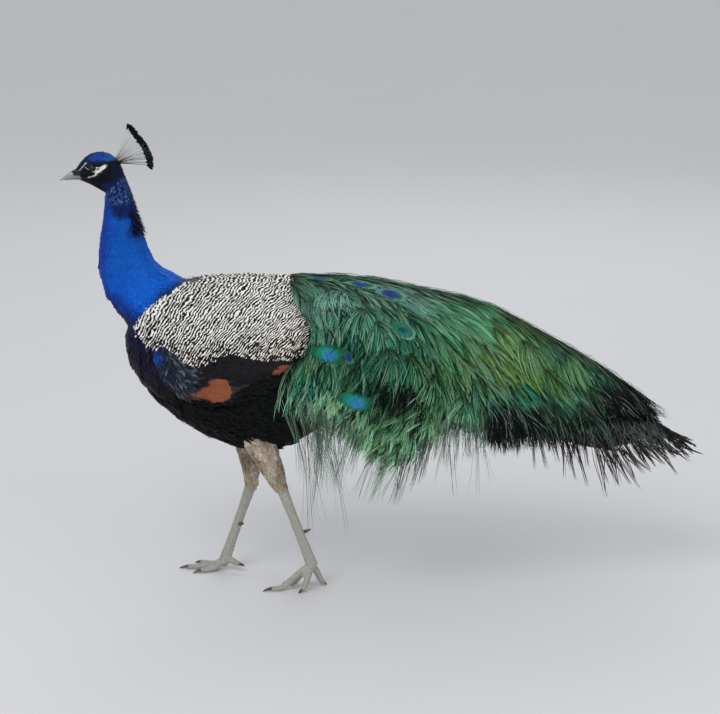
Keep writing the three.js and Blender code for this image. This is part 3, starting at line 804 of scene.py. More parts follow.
def featherTree():
    # Geometry Nodes: one feather on each root point, turned and sized by the point's own values.
    tree = bpy.data.node_groups.new("plumage", "GeometryNodeTree")
    for title, kind in (("Roots", "NodeSocketGeometry"), ("Feather", "NodeSocketObject"),
                        ("Patch Size", "NodeSocketFloat"), ("Surface", "NodeSocketMaterial")):
        tree.interface.new_socket(name=title, in_out="INPUT", socket_type=kind)
    tree.interface.new_socket(name="Plumage", in_out="OUTPUT", socket_type="NodeSocketGeometry")
    entry = addNode(tree, "NodeGroupInput").outputs

    turn, size, local, rootUv = (
        addNode(tree, "GeometryNodeInputNamedAttribute", {"Name": title}, data_type="FLOAT_VECTOR")
        for title in ("turn", "size", "local", "rootUv"))
    shape = addNode(tree, "GeometryNodeObjectInfo", {"Object": entry["Feather"]})
    placed = addNode(tree, "GeometryNodeInstanceOnPoints", {
        "Points": entry["Roots"], "Instance": shape.outputs["Geometry"], "Scale": size,
        "Rotation": addNode(tree, "FunctionNodeEulerToRotation", {0: turn})})
    solid = addNode(tree, "GeometryNodeRealizeInstances", {0: placed})
    inPatch = addNode(tree, "ShaderNodeVectorMath", {0: local, 3: entry["Patch Size"]}, operation="SCALE")
    onMap = addNode(tree, "ShaderNodeVectorMath", {0: rootUv, 1: inPatch}, operation="ADD")
    mapped = addNode(tree, "GeometryNodeStoreNamedAttribute", {
        "Geometry": solid, "Name": "OFBake", "Value": onMap}, data_type="FLOAT2", domain="CORNER")
    smooth = addNode(tree, "GeometryNodeSetShadeSmooth", {0: mapped})
    made = addNode(tree, "GeometryNodeSetMaterial", {"Geometry": smooth, "Material": entry["Surface"]})
    addNode(tree, "NodeGroupOutput", {0: made})
    return tree


plumageTree = featherTree()


def turnsOf(xWay, yWay, zWay):
    # Euler angles of the frames whose axes point the ways given.
    ry = -np.arcsin(np.clip(xWay[:, 2], -1, 1))
    return np.stack([np.arctan2(yWay[:, 2], zWay[:, 2]), ry, np.arctan2(xWay[:, 1], xWay[:, 0])], 1)


def growFeathers(name, shape, material, roots, along, length, width, colours, rootUv, lift, patch=0.003):
    # Feathers of one shape on the roots, lying along the way given, tips lifted by lift degrees.
    points, faces, local = shape
    template = meshObject(name + "_shape", toBird(points), faces, local=local[faces].reshape(-1, 2))
    raised = np.radians(lift)[:, None]
    yWay = unit(along * np.cos(raised) + roots.normal * np.sin(raised))
    xWay = unit(np.cross(yWay, roots.normal))
    mesh = bpy.data.meshes.new(name)
    mesh.vertices.add(roots.count)
    setPoints(mesh, roots.at)
    for title, values in (("turn", turnsOf(xWay, yWay, np.cross(xWay, yWay))),
                          ("size", np.stack([width, length, length], 1) / 1000),
                          ("rootUv", np.pad(rootUv, ((0, 0), (0, 1))))):
        layer = mesh.attributes.new(title, "FLOAT_VECTOR", "POINT")
        layer.data.foreach_set("vector", values.astype(np.float32).ravel())
    chance = np.random.default_rng(roots.count).random(roots.count)
    mesh.attributes.new("chance", "FLOAT", "POINT").data.foreach_set("value", chance.astype(np.float32))
    paint(mesh, colours)
    coat = inScene(name, mesh)
    step = coat.modifiers.new("Plumage", "NODES")
    step.node_group = plumageTree
    sockets = {item.name: item.identifier for item in plumageTree.interface.items_tree}
    for title, value in (("Feather", template), ("Patch Size", patch), ("Surface", material)):
        step[sockets[title]] = value
    baked(coat)
    bpy.data.objects.remove(template)
    print(name, roots.count, "feathers", sum(len(p.vertices) - 2 for p in coat.data.polygons), "triangles")
    return coat


# Feather finishes
def featherFinish(name, roughness, gloss, metallic=0.0, root=0.8, tip=1.1, barbs=9, streak=0.08, bars=None):
    # Feather: rows of fine barbs on each side of a shaft. They show as slanting lines, coarser than real
    # ones, and the barbules' sheen is a half-metallic gloss.
    settings = {"Roughness": roughness, "Metallic": metallic, "Specular_IOR_Level": gloss}
    material, tree, shader = newMaterial(name, **settings)
    colour = addNode(tree, "ShaderNodeAttribute", attribute_name="tone").outputs["Color"]
    if bars:
        colour = barredColour(tree, colour, bars)
    local = addNode(tree, "ShaderNodeAttribute", attribute_name="local").outputs["Vector"]
    across, along, _ = addNode(tree, "ShaderNodeSeparateXYZ", {0: local}).outputs
    maths = "ShaderNodeMath"
    off = addNode(tree, maths, {0: across, 1: 0.5}, operation="SUBTRACT")
    off = addNode(tree, maths, {0: off}, operation="ABSOLUTE")
    off = addNode(tree, maths, {0: off, 1: 0.7}, operation="MULTIPLY")
    slant = addNode(tree, maths, {0: along, 1: off}, operation="SUBTRACT")
    slant = addNode(tree, maths, {0: slant, 1: 2 * math.pi * barbs}, operation="MULTIPLY")
    lines = addNode(tree, maths, {0: slant}, operation="SINE")
    gain = addNode(tree, maths, {0: lines, 1: streak, 2: root}, operation="MULTIPLY_ADD")
    gain = addNode(tree, maths, {0: along, 1: tip - root, 2: gain}, operation="MULTIPLY_ADD")
    surfaced(tree, shader, colour, gain, lines, 0.3, 0.4)
    return material


def barredColour(tree, colour, bars):
    # Wavy black bars across pale feathers, steeper towards the front, broken into spots lower down.
    maths, vectors, noise, fit = (
        "ShaderNode" + kind for kind in ("Math", "VectorMath", "TexNoise", "MapRange"))
    place = addNode(tree, "ShaderNodeTexCoord").outputs["Object"]
    bend = addNode(tree, noise, {"Vector": place, "Scale": 1000 / bars["bend"], "Detail": 2.0})
    pull = addNode(tree, vectors, {0: bend.outputs["Color"], 1: (0.5, 0.5, 0.5)}, operation="SUBTRACT")
    pull = addNode(tree, vectors, {0: pull, 3: bars["sway"] / 1000}, operation="SCALE")
    moved = addNode(tree, vectors, {0: place, 1: pull}, operation="ADD")
    part = addNode(tree, "ShaderNodeSeparateXYZ", {0: moved}).outputs
    x = addNode(tree, maths, {0: part[0], 1: hipsX}, operation="SUBTRACT")
    z = addNode(tree, maths, {0: part[2], 1: bars["middle"] / 1000}, operation="SUBTRACT")
    across = addNode(tree, maths, {0: z, 1: x}, operation="SUBTRACT")
    fan = addNode(tree, maths, {0: x, 1: z}, operation="MULTIPLY")
    fan = addNode(tree, maths, {0: fan, 1: bars["fan"]}, operation="MULTIPLY")
    across = addNode(tree, maths, {0: across, 1: 0.7, 2: fan}, operation="MULTIPLY_ADD")
    chance = addNode(tree, "ShaderNodeAttribute", attribute_name="chance").outputs["Fac"]
    slip = addNode(tree, maths, {0: chance, 1: bars["slip"]}, operation="MULTIPLY")
    turns = 2 * math.pi * 1000 / bars["period"]
    wave = addNode(tree, maths, {0: across, 1: turns, 2: slip}, operation="MULTIPLY_ADD")
    wave = addNode(tree, maths, {0: wave}, operation="SINE")
    fine = addNode(tree, noise, {"Vector": place, "Scale": 1000 / bars["break"], "Detail": 2.0})
    broken = addNode(tree, maths, {0: fine.outputs["Fac"], 1: 0.5}, operation="SUBTRACT")
    low = addNode(tree, fit, {0: z, 1: -0.075, 2: -0.01, 3: bars["spotty"], 4: bars["breakUp"]})
    heavier = addNode(tree, fit, {0: z, 1: -0.08, 2: -0.02, 3: bars["heavyLow"], 4: 0.0})
    more = addNode(tree, maths, {0: broken, 1: low, 2: heavier}, operation="MULTIPLY_ADD")
    wave = addNode(tree, maths, {0: wave, 1: more}, operation="ADD")
    edge = addNode(tree, fit, {0: wave, 1: bars["edge"] - 0.13, 2: bars["edge"] + 0.13, 3: 0.0, 4: 1.0})
    barred = addNode(tree, "ShaderNodeMix", {0: edge, 6: colour, 7: four("0b0908")}, data_type="RGBA")
    return barred.outputs[2]


finishes = {
    "crown": featherFinish("silkyCrownFeather", 0.45, 0.15, 0.3, 0.85, 1.15),
    "neck": featherFinish("glossyNeckFeather", 0.42, 0.12, 0.35, 0.85, 1.12, streak=0.05),
    "body": featherFinish("softBodyFeather", 0.6, 0.1, 0.0, 0.7, 1.1),
    "mantle": featherFinish("scaledBackFeather", 0.45, 0.2, 0.3, 0.4, 1.4),
    "barred": featherFinish("barredCovertFeather", 0.65, 0.25, 0.0, 0.94, 1.02, barbs=12, streak=0.04, bars={
        "period": 4.5, "bend": 24, "sway": 15, "middle": 540, "fan": 1.6, "slip": 2.2, "break": 6.0,
        "breakUp": 4.0, "spotty": 6.5, "edge": -0.08, "heavyLow": 0.5}),
    "flight": featherFinish("stiffWingFeather", 0.5, 0.15, 0.05, 0.85, 1.1, barbs=34, streak=0.08),
    "thigh": featherFinish("downyThighFeather", 0.8, 0.3, 0.0, 0.65, 1.12, barbs=5, streak=0.1),
    "scale": featherFinish("hornyLegScale", 0.5, 0.4, 0.0, 0.8, 1.12, barbs=2, streak=0.04),
    "barb": featherFinish("looseTrainBarb", 0.45, 0.12, 0.2, 0.9, 1.1, barbs=3, streak=0.0),
    "vane": featherFinish("darkTailVane", 0.6, 0.1, 0.0, 0.7, 1.1, barbs=4, streak=0.1),
}


# Body coat
coatSizes = {  # spacing, length and width in mm, tip lift in degrees
    "head": (1.5, 3.6, 2.1, 9),
    "neckUpper": (2.5, 6.6, 4.2, 10),
    "neckMiddle": (3.3, 9.5, 6.2, 7),
    "nape": (4.2, 19, 5.5, 24),
    "breast": (4.4, 14, 9.0, 6),
    "belly": (6.3, 22, 12, 4),
    "back": (5.0, 16, 11, 5),
    "barred": (6.4, 24, 13.5, 5),
    "wrist": (4.4, 19, 7.0, 6),
    "wing": (6.0, 26, 12, 4),
    "primaries": (3.0, 9, 6.5, 7),
    "thigh": (3.6, 14, 8, 8),
    "shank": (2.5, 3.9, 3.5, 3),
    "toe": (2.0, 3.1, 2.9, 3),
}


def growTract(name, roots, shape, finish, seed, toneJitter=0.06, turnJitter=0.1, unwrap=bodyUnwrap,
              scale=1.0, colours=None):
    _, length, width, lift = coatSizes[roots.sizes]
    rng = np.random.default_rng(seed)
    side = np.cross(roots.normal, roots.flow)
    along = unit(roots.flow + side * rng.normal(0, turnJitter, roots.count)[:, None])
    if colours is None:
        colours = bodyTone(roots.at, roots.kind)
    colours = colours * (1 + toneJitter * rng.normal(0, 1, roots.count)[:, None]).clip(0.4, 1.9)
    grown = rng.uniform(0.82, 1.15, roots.count) * scale
    width = width * grown * rng.uniform(0.85, 1.1, roots.count)
    made = growFeathers(name, shape, finishes[finish], roots, along, length * grown, width, colours,
                        unwrap(roots.at), lift + rng.normal(0, 2.0, roots.count))
    finished(made)


def eyeClear(p):
    return (np.abs(p[:, 1]) < 7) | (eyeShare(p) > 1.34)


def growBody():
    x, y, z = skinPoints.T
    head = Roots(skinKind == "head", "head", 31)
    head.kept((bareFace(head.at) < 0.35) & (gape(head.at) < 0.4) & eyeClear(head.at) & (head.x > -313))
    growTract("coat_head", head, velvet, "crown", 32, 0.12,
              scale=0.72 + 0.6 * ramp(-300, -250, head.x))
    upper = Roots(skinKind == "neck_upper", "neckUpper", 33)
    fleck = (np.random.default_rng(56).random(upper.count) < 0.4) * ramp(-276, -266, upper.x) * 0.42
    fleck = fleck * ramp(728, 738, upper.z)
    growTract("coat_neck_upper", upper, contour, "neck", 34, 0.25,
              scale=0.72 + 0.4 * (1 - ramp(725, 775, upper.z)),
              colours=mixed(bodyTone(upper.at, upper.kind), tones["fleck"], fleck))
    middle = Roots(skinKind == "neck_middle", "neckMiddle", 35)
    growTract("coat_neck_middle", middle, contour, "neck", 36, 0.05,
              scale=0.82 + 0.25 * (1 - ramp(640, 710, middle.z)))
    nape = Roots((z > 678) & (z < 748) & (skinNormals[:, 0] > 0.5), "nape", 48)
    nape.kept(np.random.default_rng(49).random(nape.count) < 0.6 * (1 - 0.5 * ramp(710, 745, nape.z)))
    shade = mixed(tones["nape"], tones["navy"], np.random.default_rng(57).random(nape.count) ** 2)
    growTract("coat_nape", nape, hackle, "neck", 50, 0.2, 0.25,
              scale=0.45 + 0.4 * (1 - ramp(690, 740, nape.z)), colours=shade)

    body = onBody(skinKind)
    barred = body & (isBarred(skinPoints) > 0.5)
    strip = Roots(body & (backStrip(skinPoints) > 0.3) & (z > 560) & (x < 100), "back", 41)
    growTract("coat_back", strip, scaleLike, "mantle", 42, 0.1)
    wing = body & (insideOf(skinPoints, "wing") > 0.5) & ~barred
    rust = wing & (primaryShare(skinPoints) > 0.4)
    plain = body & ~barred & ~wing & (z < 560)
    front = (skinKind == "neck_lower") | ((x < -40) & (z > 384 + 16 * ripple(skinPoints, 20, 60)))
    low = Roots(((plain & front) | (skinKind == "neck_lower")) & ~barred, "breast", 37)
    growTract("coat_breast", low, scaleLike, "neck", 38,
              colours=bodyTone(low.at, low.kind, False))
    for word, way in sides:
        belly = Roots(plain & ~front & ((y < 0) == (way < 0)), "belly", 39)
        growTract(f"coat_belly_{word}", belly, looseTuft, "body", 40, 0.15, 0.12)
    coverts = Roots(barred & (x < 96), "barred", 43)
    growTract("coat_shoulders", coverts, scaleLike, "barred", 44, 0.04, 0.06,
              scale=0.6 + 0.4 * ramp(0.5, 0.95, insideOf(coverts.at, "barred", 20)),
              colours=barredTone(coverts.at))
    ahead = np.max([primaryShare(skinPoints + (reach, 0, -0.2 * reach)) for reach in (6, 12, 18)], axis=0)
    wing = wing & ((ahead < 0.4) | rust)  # nothing lies over the rust primaries
    wrist = Roots(wing & ~rust & (x < -96), "wrist", 45)
    # Painted sheen: a few wrist feathers are grey-blue, as streaks of gloss.
    grey = np.random.default_rng(51).random(wrist.count) ** 3.5 * ramp(-172, -158, wrist.x)
    grey = mixed(wingTone(wrist.at), tones["wingGrey"], grey * 0.75)
    growTract("coat_wrists", wrist, hackle, "flight", 46, 0.1, 0.12, colours=grey)
    covered = Roots(wing & ~rust & (x > -104) & (x < 60), "wing", 52)
    growTract("coat_secondaries", covered, contour, "flight", 53, 0.12, 0.06,
              colours=wingTone(covered.at))
    bunch = Roots(rust, "primaries", 54)
    growTract("coat_primaries", bunch, scaleLike, "flight", 55, 0.06, 0.05,
              colours=mixed(tones["rustDark"], tones["rust"], primaryShare(bunch.at)))
    thigh = Roots(skinKind == "thigh", "thigh", 47)
    growTract("coat_thighs", thigh, looseTuft, "thigh", 48, 0.14, 0.2, legUnwrap)


growBody()


# Train: its surface, read off the solids as rows from the ridge down each side to the hem
class Shell:
    # A surface sampled on nodes: point(x, w, side) is w mm down from the ridge at x, even below the hem.
    def __init__(self, names, xs, reach, smoothing=2):
        points, faces = cadArrays(*names)
        tree = BVHTree.FromPolygons(points.tolist(), faces.tolist())
        self.xs, self.rows = np.asarray(xs, float), 49
        self.settle = [(0, 0)]  # x, and how far the ridge is let down there
        self.grid = np.zeros((2, len(xs), self.rows, 3))
        self.length = np.zeros((2, len(xs)))
        angles = np.radians(np.linspace(0, reach, 120))
        for s, (_, side) in enumerate(sides):
            for i, x in enumerate(self.xs):
                near = points[np.abs(points[:, 0] - x) < 45]
                middle = (near[:, 2].max() + near[:, 2].min()) / 2
                line = []
                for angle in angles:
                    way = Vector((0, side * math.sin(angle), math.cos(angle)))
                    hit, _, _, far = tree.ray_cast(Vector((x, side * 0.6, middle)) + way * 500, -way)
                    if hit is not None and far < 500:
                        line.append(hit[:])
                line = np.array(line)
                run = np.r_[0, np.cumsum(np.linalg.norm(np.diff(line, axis=0), axis=1))]
                self.length[s, i] = run[-1]
                even = np.linspace(0, run[-1], self.rows)
                self.grid[s, i] = np.stack([np.interp(even, run, line[:, k]) for k in range(3)], 1)
        for _ in range(smoothing):
            for values in (self.grid, self.length):
                values[:, 1:-1] = (values[:, :-2] + 2 * values[:, 1:-1] + values[:, 2:]) / 4

    def hem(self, x, side):
        s = (np.asarray(side) > 0).astype(int)
        i, share = between(x, self.xs)
        return self.length[s, i] * (1 - share) + self.length[s, i + 1] * share

    def point(self, x, w, side):
        x, w = np.broadcast_arrays(np.asarray(x, float), np.asarray(w, float))
        side = np.broadcast_to(side, x.shape)
        side = np.where(w < 0, -side, side)
        w = np.abs(w)
        s = (side > 0).astype(int)
        i, share = between(x, self.xs)
        hem = self.hem(x, side)
        row = np.clip(w / hem, 0, 0.9999) * (self.rows - 1)
        j, part = row.astype(int), row - row.astype(int)
        value = 0
        for di, weightI in ((0, 1 - share), (1, share)):
            for dj, weightJ in ((0, 1 - part), (1, part)):
                value = value + self.grid[s, i + di, j + dj] * (weightI * weightJ)[..., None]
        value[..., 0] = x
        value[..., 2] -= np.maximum(w - hem, 0) + np.maximum(x - self.xs[-1], 0) * 0.62
        value[..., 2] -= tableAt(self.settle, x) * (1 - ramp(0, 70, w))
        return value

    def outward(self, x, w, side, step=3.0):
        alongX = self.point(x + step, w, side) - self.point(x - step, w, side)
        down = self.point(x, w + step, side) - self.point(x, w - step, side)
        normal = np.cross(alongX, down) * np.broadcast_to(side, np.shape(x))[..., None]
        return unit(normal)


def ribbons(lines, facing, width):
    # Flat tapering strips along many lines at once: lines and facing (n, steps, 3), width (n, steps).
    count, steps = lines.shape[:2]
    along = np.gradient(lines, axis=1)
    across = unit(np.cross(along, facing)) * width[..., None] / 2
    points = np.stack([lines - across, lines + across], 2).reshape(-1, 3)
    first = (np.arange(count)[:, None] * steps + np.arange(steps - 1)[None, :]).ravel() * 2
    faces = np.stack([first, first + 1, first + 3, first + 2], 1)
    t = np.broadcast_to(np.linspace(0, 1, steps), (count, steps))
    local = np.stack([np.stack([edge + 0 * t, t], 2) for edge in (0, 1)], 2).reshape(-1, 2)
    return points, faces, local


def ribbonPiece(name, slotName, finish, lines, facing, width, colours, rootUv, patch=0.003, replaces=()):
    # colours: one for each line (n, 3), or one for each step of it (n, steps, 3).
    points, faces, local = ribbons(lines, facing, width)
    steps = lines.shape[1]
    if colours.ndim == 2:
        colours = np.repeat(colours[:, None], steps, 1)
    uv = np.repeat(rootUv, steps * 2, 0) + local * patch
    made = meshObject(name, points, faces, np.repeat(colours.reshape(-1, 3), 2, 0), uv[faces].reshape(-1, 2),
                      local[faces].reshape(-1, 2))
    print(name, len(lines), "strips", len(faces) * 2, "triangles")
    return finished(made, finishes[finish], replaces)


trainNodes = [f"train_{part}_{place}" for part in ("crown", "left", "right")
              for place in ("front", "middle", "rear")]
tailNodes = [f"tail_feather_{i}" for i in range(1, 10)]
trainShell = Shell(trainNodes, np.linspace(96, 738, 54), 168)
print("train surface read, hem at", trainShell.length[0, ::9].round())

tones.update(linears({
    "gap": "0a1c12", "paintedSheen": "7fb0a4", "deep": "1f5a44", "teal": "2f7a66", "green": "2f6f47",
    "leaf": "4d9a62", "olive": "5c8038", "sheet": "62ab80", "pale": "a6d0ae", "blueTeal": "16656c",
    "turquoise": "1fae98", "eyeBlue": "3f8cd2", "glintTeal": "6fb59c", "glintOlive": "93a860",
    "violet": "2b3c9c", "ring": "9ccfb4", "shaft": "3c3a2a", "ink": "0b0f10", "hair": "100e0d",
    "hairPale": "7d7c78",
}))


trainSizes = {
    "rows": 14,  # rows of plumes down each side
    "rowGap": 27,
    "plumeGap": 42,
    "under": 12000,  # strands close to the body, dark as painted shade under the others
    "locks": 36,  # locks that fan out of each plume
    "bunch": 3,  # strands in a lock
    "perTuft": 90,
    "crossing": 700,  # strands that lie across the ridge, so that it shows no parting
    "wide": 1.15,
    "long": [(60, 92), (300, 98), (480, 84), (640, 70), (740, 62)],
    "steps": 7,
    "ragged": 34,  # how far the strands hang below the hem
    # z, and the x where the first strands spring
    "frontEdge": [(350, 44), (420, 50), (445, 62), (462, 78), (480, 102), (494, 110), (515, 115), (524, 110),
                  (548, 92), (571, 80), (590, 68)],
    # x, and the z where the green gives way to black
    "darkBelow": [(360, 250), (410, 386), (565, 384), (600, 398), (650, 408), (740, 400)],
    # x, and the z where the thick part ends; single strands hang on below
    "thickTo": [(60, 362), (101, 360), (148, 350), (180, 332), (216, 306), (240, 284), (261, 264), (285, 264),
                (305, 279), (330, 305), (350, 330), (390, 345), (420, 340), (450, 200), (760, 200)],
    "endDrop": [(560, 0), (640, 7), (740, 18)],  # x, mm that the ridge sinks as the train runs out
    "strays": 220,
    # drooping tufts: x, z, side, length, least and most degrees below straight back
    "tufts": [(165, 577, -1, 40, 60, 150), (138, 574, -1, 36, 60, 140), (202, 552, -1, 62, 30, 150),
              (226, 534, -1, 66, 20, 120), (252, 487, -1, 74, 40, 135), (290, 474, -1, 70, 20, 110),
              (447, 512, -1, 48, 10, 95), (500, 484, -1, 74, 22, 112), (578, 457, -1, 66, 22, 105),
              (600, 376, -1, 66, 10, 95), (642, 368, -1, 66, 0, 85), (684, 360, -1, 60, -10, 75),
              (556, 378, -1, 60, 30, 105), (620, 398, -1, 60, -15, 70), (662, 386, -1, 58, -20, 60),
              (384, 400, -1, 60, 50, 130), (330, 440, -1, 64, 40, 120), (540, 440, -1, 56, 15, 90),
              (180, 560, 1, 56, 40, 140), (260, 530, 1, 66, 30, 130), (340, 500, 1, 70, 30, 120),
              (430, 480, 1, 66, 20, 110), (520, 460, 1, 66, 20, 110), (230, 450, 1, 70, 50, 130),
              (150, 480, 1, 60, 60, 130), (600, 430, 1, 56, 20, 100)],
}
trainShell.settle = trainSizes["endDrop"]
thickReach = np.zeros((2, len(trainShell.xs)))
for s, (_, side) in enumerate(sides):
    for i, x in enumerate(trainShell.xs):
        line = tableAt(trainSizes["thickTo"], x)
        run = np.linspace(0, trainShell.length[s, i], trainShell.rows)
        thickReach[s, i] = np.interp(-line, -trainShell.grid[s, i, :, 2], run)


def reachTo(x, z, side):
    # mm below the ridge of the place at height z.
    i = int(between(x, trainShell.xs)[0])
    run = np.linspace(0, trainShell.length[int(side > 0), i], trainShell.rows)
    return np.interp(-z, -trainShell.grid[int(side > 0), i, :, 2], run)


def thickHem(x, side):
    # mm below the ridge at which the thick part of the train ends.
    left, right = (np.interp(x, trainShell.xs, row) for row in thickReach)
    return np.where(np.asarray(side) < 0, left, right)


def trainUv(x, w, side, start=40, long=720):
    return np.stack([0.02 + 0.95 * (x - start) / long, 0.5 + 0.47 * side * w / 360], 1)


# How the strands hang: degrees below straight back, by x (columns) and share of the way to the hem (rows).
hangX = [60, 150, 220, 300, 380, 450, 520, 600, 740]
hangShare = [0, 0.12, 0.3, 0.5, 0.7, 0.85, 1]
hangTable = np.array([
    [24, 18, 14, 12, 12, 15, 20, 25, 30],
    [50, 36, 26, 20, 18, 22, 34, 42, 36],
    [84, 80, 64, 44, 32, 36, 54, 56, 44],
    [90, 98, 102, 86, 56, 40, 50, 50, 46],
    [90, 106, 116, 112, 92, 52, 34, 40, 44],
    [91, 110, 121, 119, 108, 76, 34, 36, 44],
    [92, 108, 119, 117, 106, 92, 70, 52, 50]], float)

# Soft zones of colour on the train's side: x, z, half length, half height, tone, strength.
# The pale zones at 92, 562 and 240, 575 are painted sheen along the top of the train.
trainZones = [
    (150, 545, 70, 40, "teal", 0.8), (240, 520, 60, 40, "teal", 0.7), (330, 549, 52, 17, "sheet", 0.55),
    (404, 540, 56, 20, "sheet", 1.15), (470, 505, 55, 16, "leaf", 0.6), (425, 482, 90, 34, "olive", 0.95),
    (520, 452, 80, 20, "olive", 0.75), (560, 470, 60, 14, "teal", 0.7), (330, 470, 60, 36, "green", 0.6),
    (290, 325, 100, 50, "leaf", 0.75), (200, 440, 80, 60, "deep", 0.6), (100, 400, 60, 60, "deep", 0.7),
    # The dark zone at 271, 420 is painted shade in a hollow of the train.
    (108, 446, 26, 13, "turquoise", 0.8), (271, 420, 40, 36, "gap", 1.0), (92, 562, 34, 20, "paintedSheen", 0.4),
    (240, 575, 120, 16, "paintedSheen", 0.6), (450, 425, 40, 10, "turquoise", 0.45),
    (640, 400, 60, 14, "leaf", 0.35),
]


def hangWay(x, w, side):
    # Heading of a strand at a place of the train, in radians from straight back towards the hem.
    i, a = between(np.clip(w / trainShell.hem(x, side), 0, 1), hangShare)
    j, b = between(x, hangX)
    upper, lower = (hangTable[row, j] * (1 - b) + hangTable[row, j + 1] * b for row in (i, i + 1))
    return np.radians(upper * (1 - a) + lower * a)


def trainTone(x, w, side):
    # Metallic greens: teal at the front and under the ridge, olive in the middle, black behind and below.
    p = np.stack([x, w, np.zeros_like(x)], 1)
    b, c = ripple(p, 34, 52), ripple(p, 18, 53)
    z = trainShell.point(x, w, side)[:, 2]
    colour = mixed(tones["green"], tones["deep"], ramp(-0.6, 0.6, ripple(p, 70, 51)) * 0.6)
    for zoneX, zoneZ, long, tall, tone, strength in trainZones:
        share = blob(x + 10 * b, z + 6 * c, zoneX, zoneZ, long, tall)
        colour = mixed(colour, tones[tone], np.clip(share * 1.5, 0, 1) * strength)
    edge = np.exp(-((z - tableAt(trainSizes["darkBelow"], x) - 22 - 7 * c) / 13) ** 2) * ramp(390, 430, x)
    # Painted shade in the hollow at 271, 420, joined to the real black part behind and below; both dim the
    # strands' glints.
    hollow = blob(x + 6 * b, z + 4 * c, 271, 420, 34, 32)
    inkAndHollowShade = np.maximum(inkShare(np.stack([x, x, z + 8 * c], 1)), np.clip(hollow * 1.3, 0, 0.95))
    # Darker brown along the ridge: partly the shafts that show where the two sides part, partly painted shade
    # in that parting.
    ridge = 1 - ramp(3, 15 + 8 * ramp(400, 480, x), w + 4 * c)
    ridge = ridge * ramp(100, 220, x) * (0.5 + 0.3 * ramp(400, 480, x))
    return layered(colour, ("blueTeal", edge * 0.45), ("ink", inkAndHollowShade), ("shaft", ridge)), inkAndHollowShade


def inkShare(p):
    # How far a place of the train lies in the black part behind and below.
    x, z = p[..., 0], p[..., 2]
    line = tableAt(trainSizes["darkBelow"], x) + 7 * np.sin(x / 17)
    green = np.minimum(1.3 * blob(x, z, 578, 378, 32, 26), 0.95)
    return np.maximum(ramp(0, 14, line - z) * ramp(405, 440, x) * (1 - green), ramp(680, 735, x))


def trainLines(rng, x0, w0, side, fan, long, group, cling, height, bulge, twist, lowest=0.5):
    # Strands that leave their roots at an angle of fan to the hang of the train and fall in with it.
    steps = trainSizes["steps"]
    z0 = trainShell.point(x0, w0, side)[:, 2]
    x0 = np.maximum(x0, tableAt(trainSizes["frontEdge"], z0) + rng.uniform(0, 9, len(x0)))
    hem = thickHem(x0, side)
    w0 = np.clip(w0, 0.8, hem - 8)
    room = (hem - w0) / np.maximum(np.sin(hangWay(x0, w0, side)), 0.25)
    ragged = trainSizes["ragged"] * rng.random(group.max() + 1)[group] ** 1.6 * (1 - 0.8 * ramp(400, 480, x0))
    long = np.minimum(long, room + ragged)
    stride = long / (steps - 1)
    x, w = [x0], [w0]
    for k in range(steps - 1):
        t = k / (steps - 1)
        heading = hangWay(x[-1], w[-1], side) + fan * (1 - 0.75 * ramp(0, 0.9, t))
        w.append(w[-1] + np.sin(heading) * stride)
        front = tableAt(trainSizes["frontEdge"], trainShell.point(x[-1], w[-1], side)[:, 2])
        x.append(np.maximum(x[-1] + np.cos(heading) * stride, front - 3))
    x, w = np.stack(x, 1), np.stack(w, 1)
    t = np.linspace(0, 1, steps)
    x = np.minimum(towardsMean(x, group, cling * ramp(0.2, 1, t)), 800)
    w = np.maximum(towardsMean(w, group, cling * ramp(0.2, 1, t)), lowest)
    way = np.repeat(side[:, None], steps, 1)
    facing = trainShell.outward(x, w, way)
    rise = height[:, None] + bulge * np.sin(math.pi * np.minimum(t * 1.25, 1))
    rise = rise + 9 * np.exp(-((x - 430) / 78) ** 2) * (1 - ramp(4, 46, w))  # loose plumes lift off the ridge
    lines = trainShell.point(x, w, way) + facing * rise[..., None]
    turned = rng.normal(0, twist, len(x0))[:, None, None]
    facing = unit(facing + unit(np.cross(np.gradient(lines, axis=1), facing)) * turned)
    return x0, w0, lines, facing


def trainPlaces(rng):
    # Tips of the plumes, in staggered rows from the ridge to the hem: x, mm below the ridge, side.
    places = []
    size = trainSizes
    for r in range(size["rows"]):
        for _, side in sides:
            x = np.arange(46 + (r % 2) * size["plumeGap"] / 2, 715, size["plumeGap"])
            x = x + rng.uniform(-12, 12, len(x))
            w = 7 + r * size["rowGap"] + rng.uniform(-10, 10, len(x))
            fits = (w < thickHem(x, np.full(len(x), side)) - 16) & ((x > 88) | (rng.random(len(x)) < 0.5))
            places += [(a, b, side) for a, b in zip(x[fits], w[fits])]
    return np.array(places)


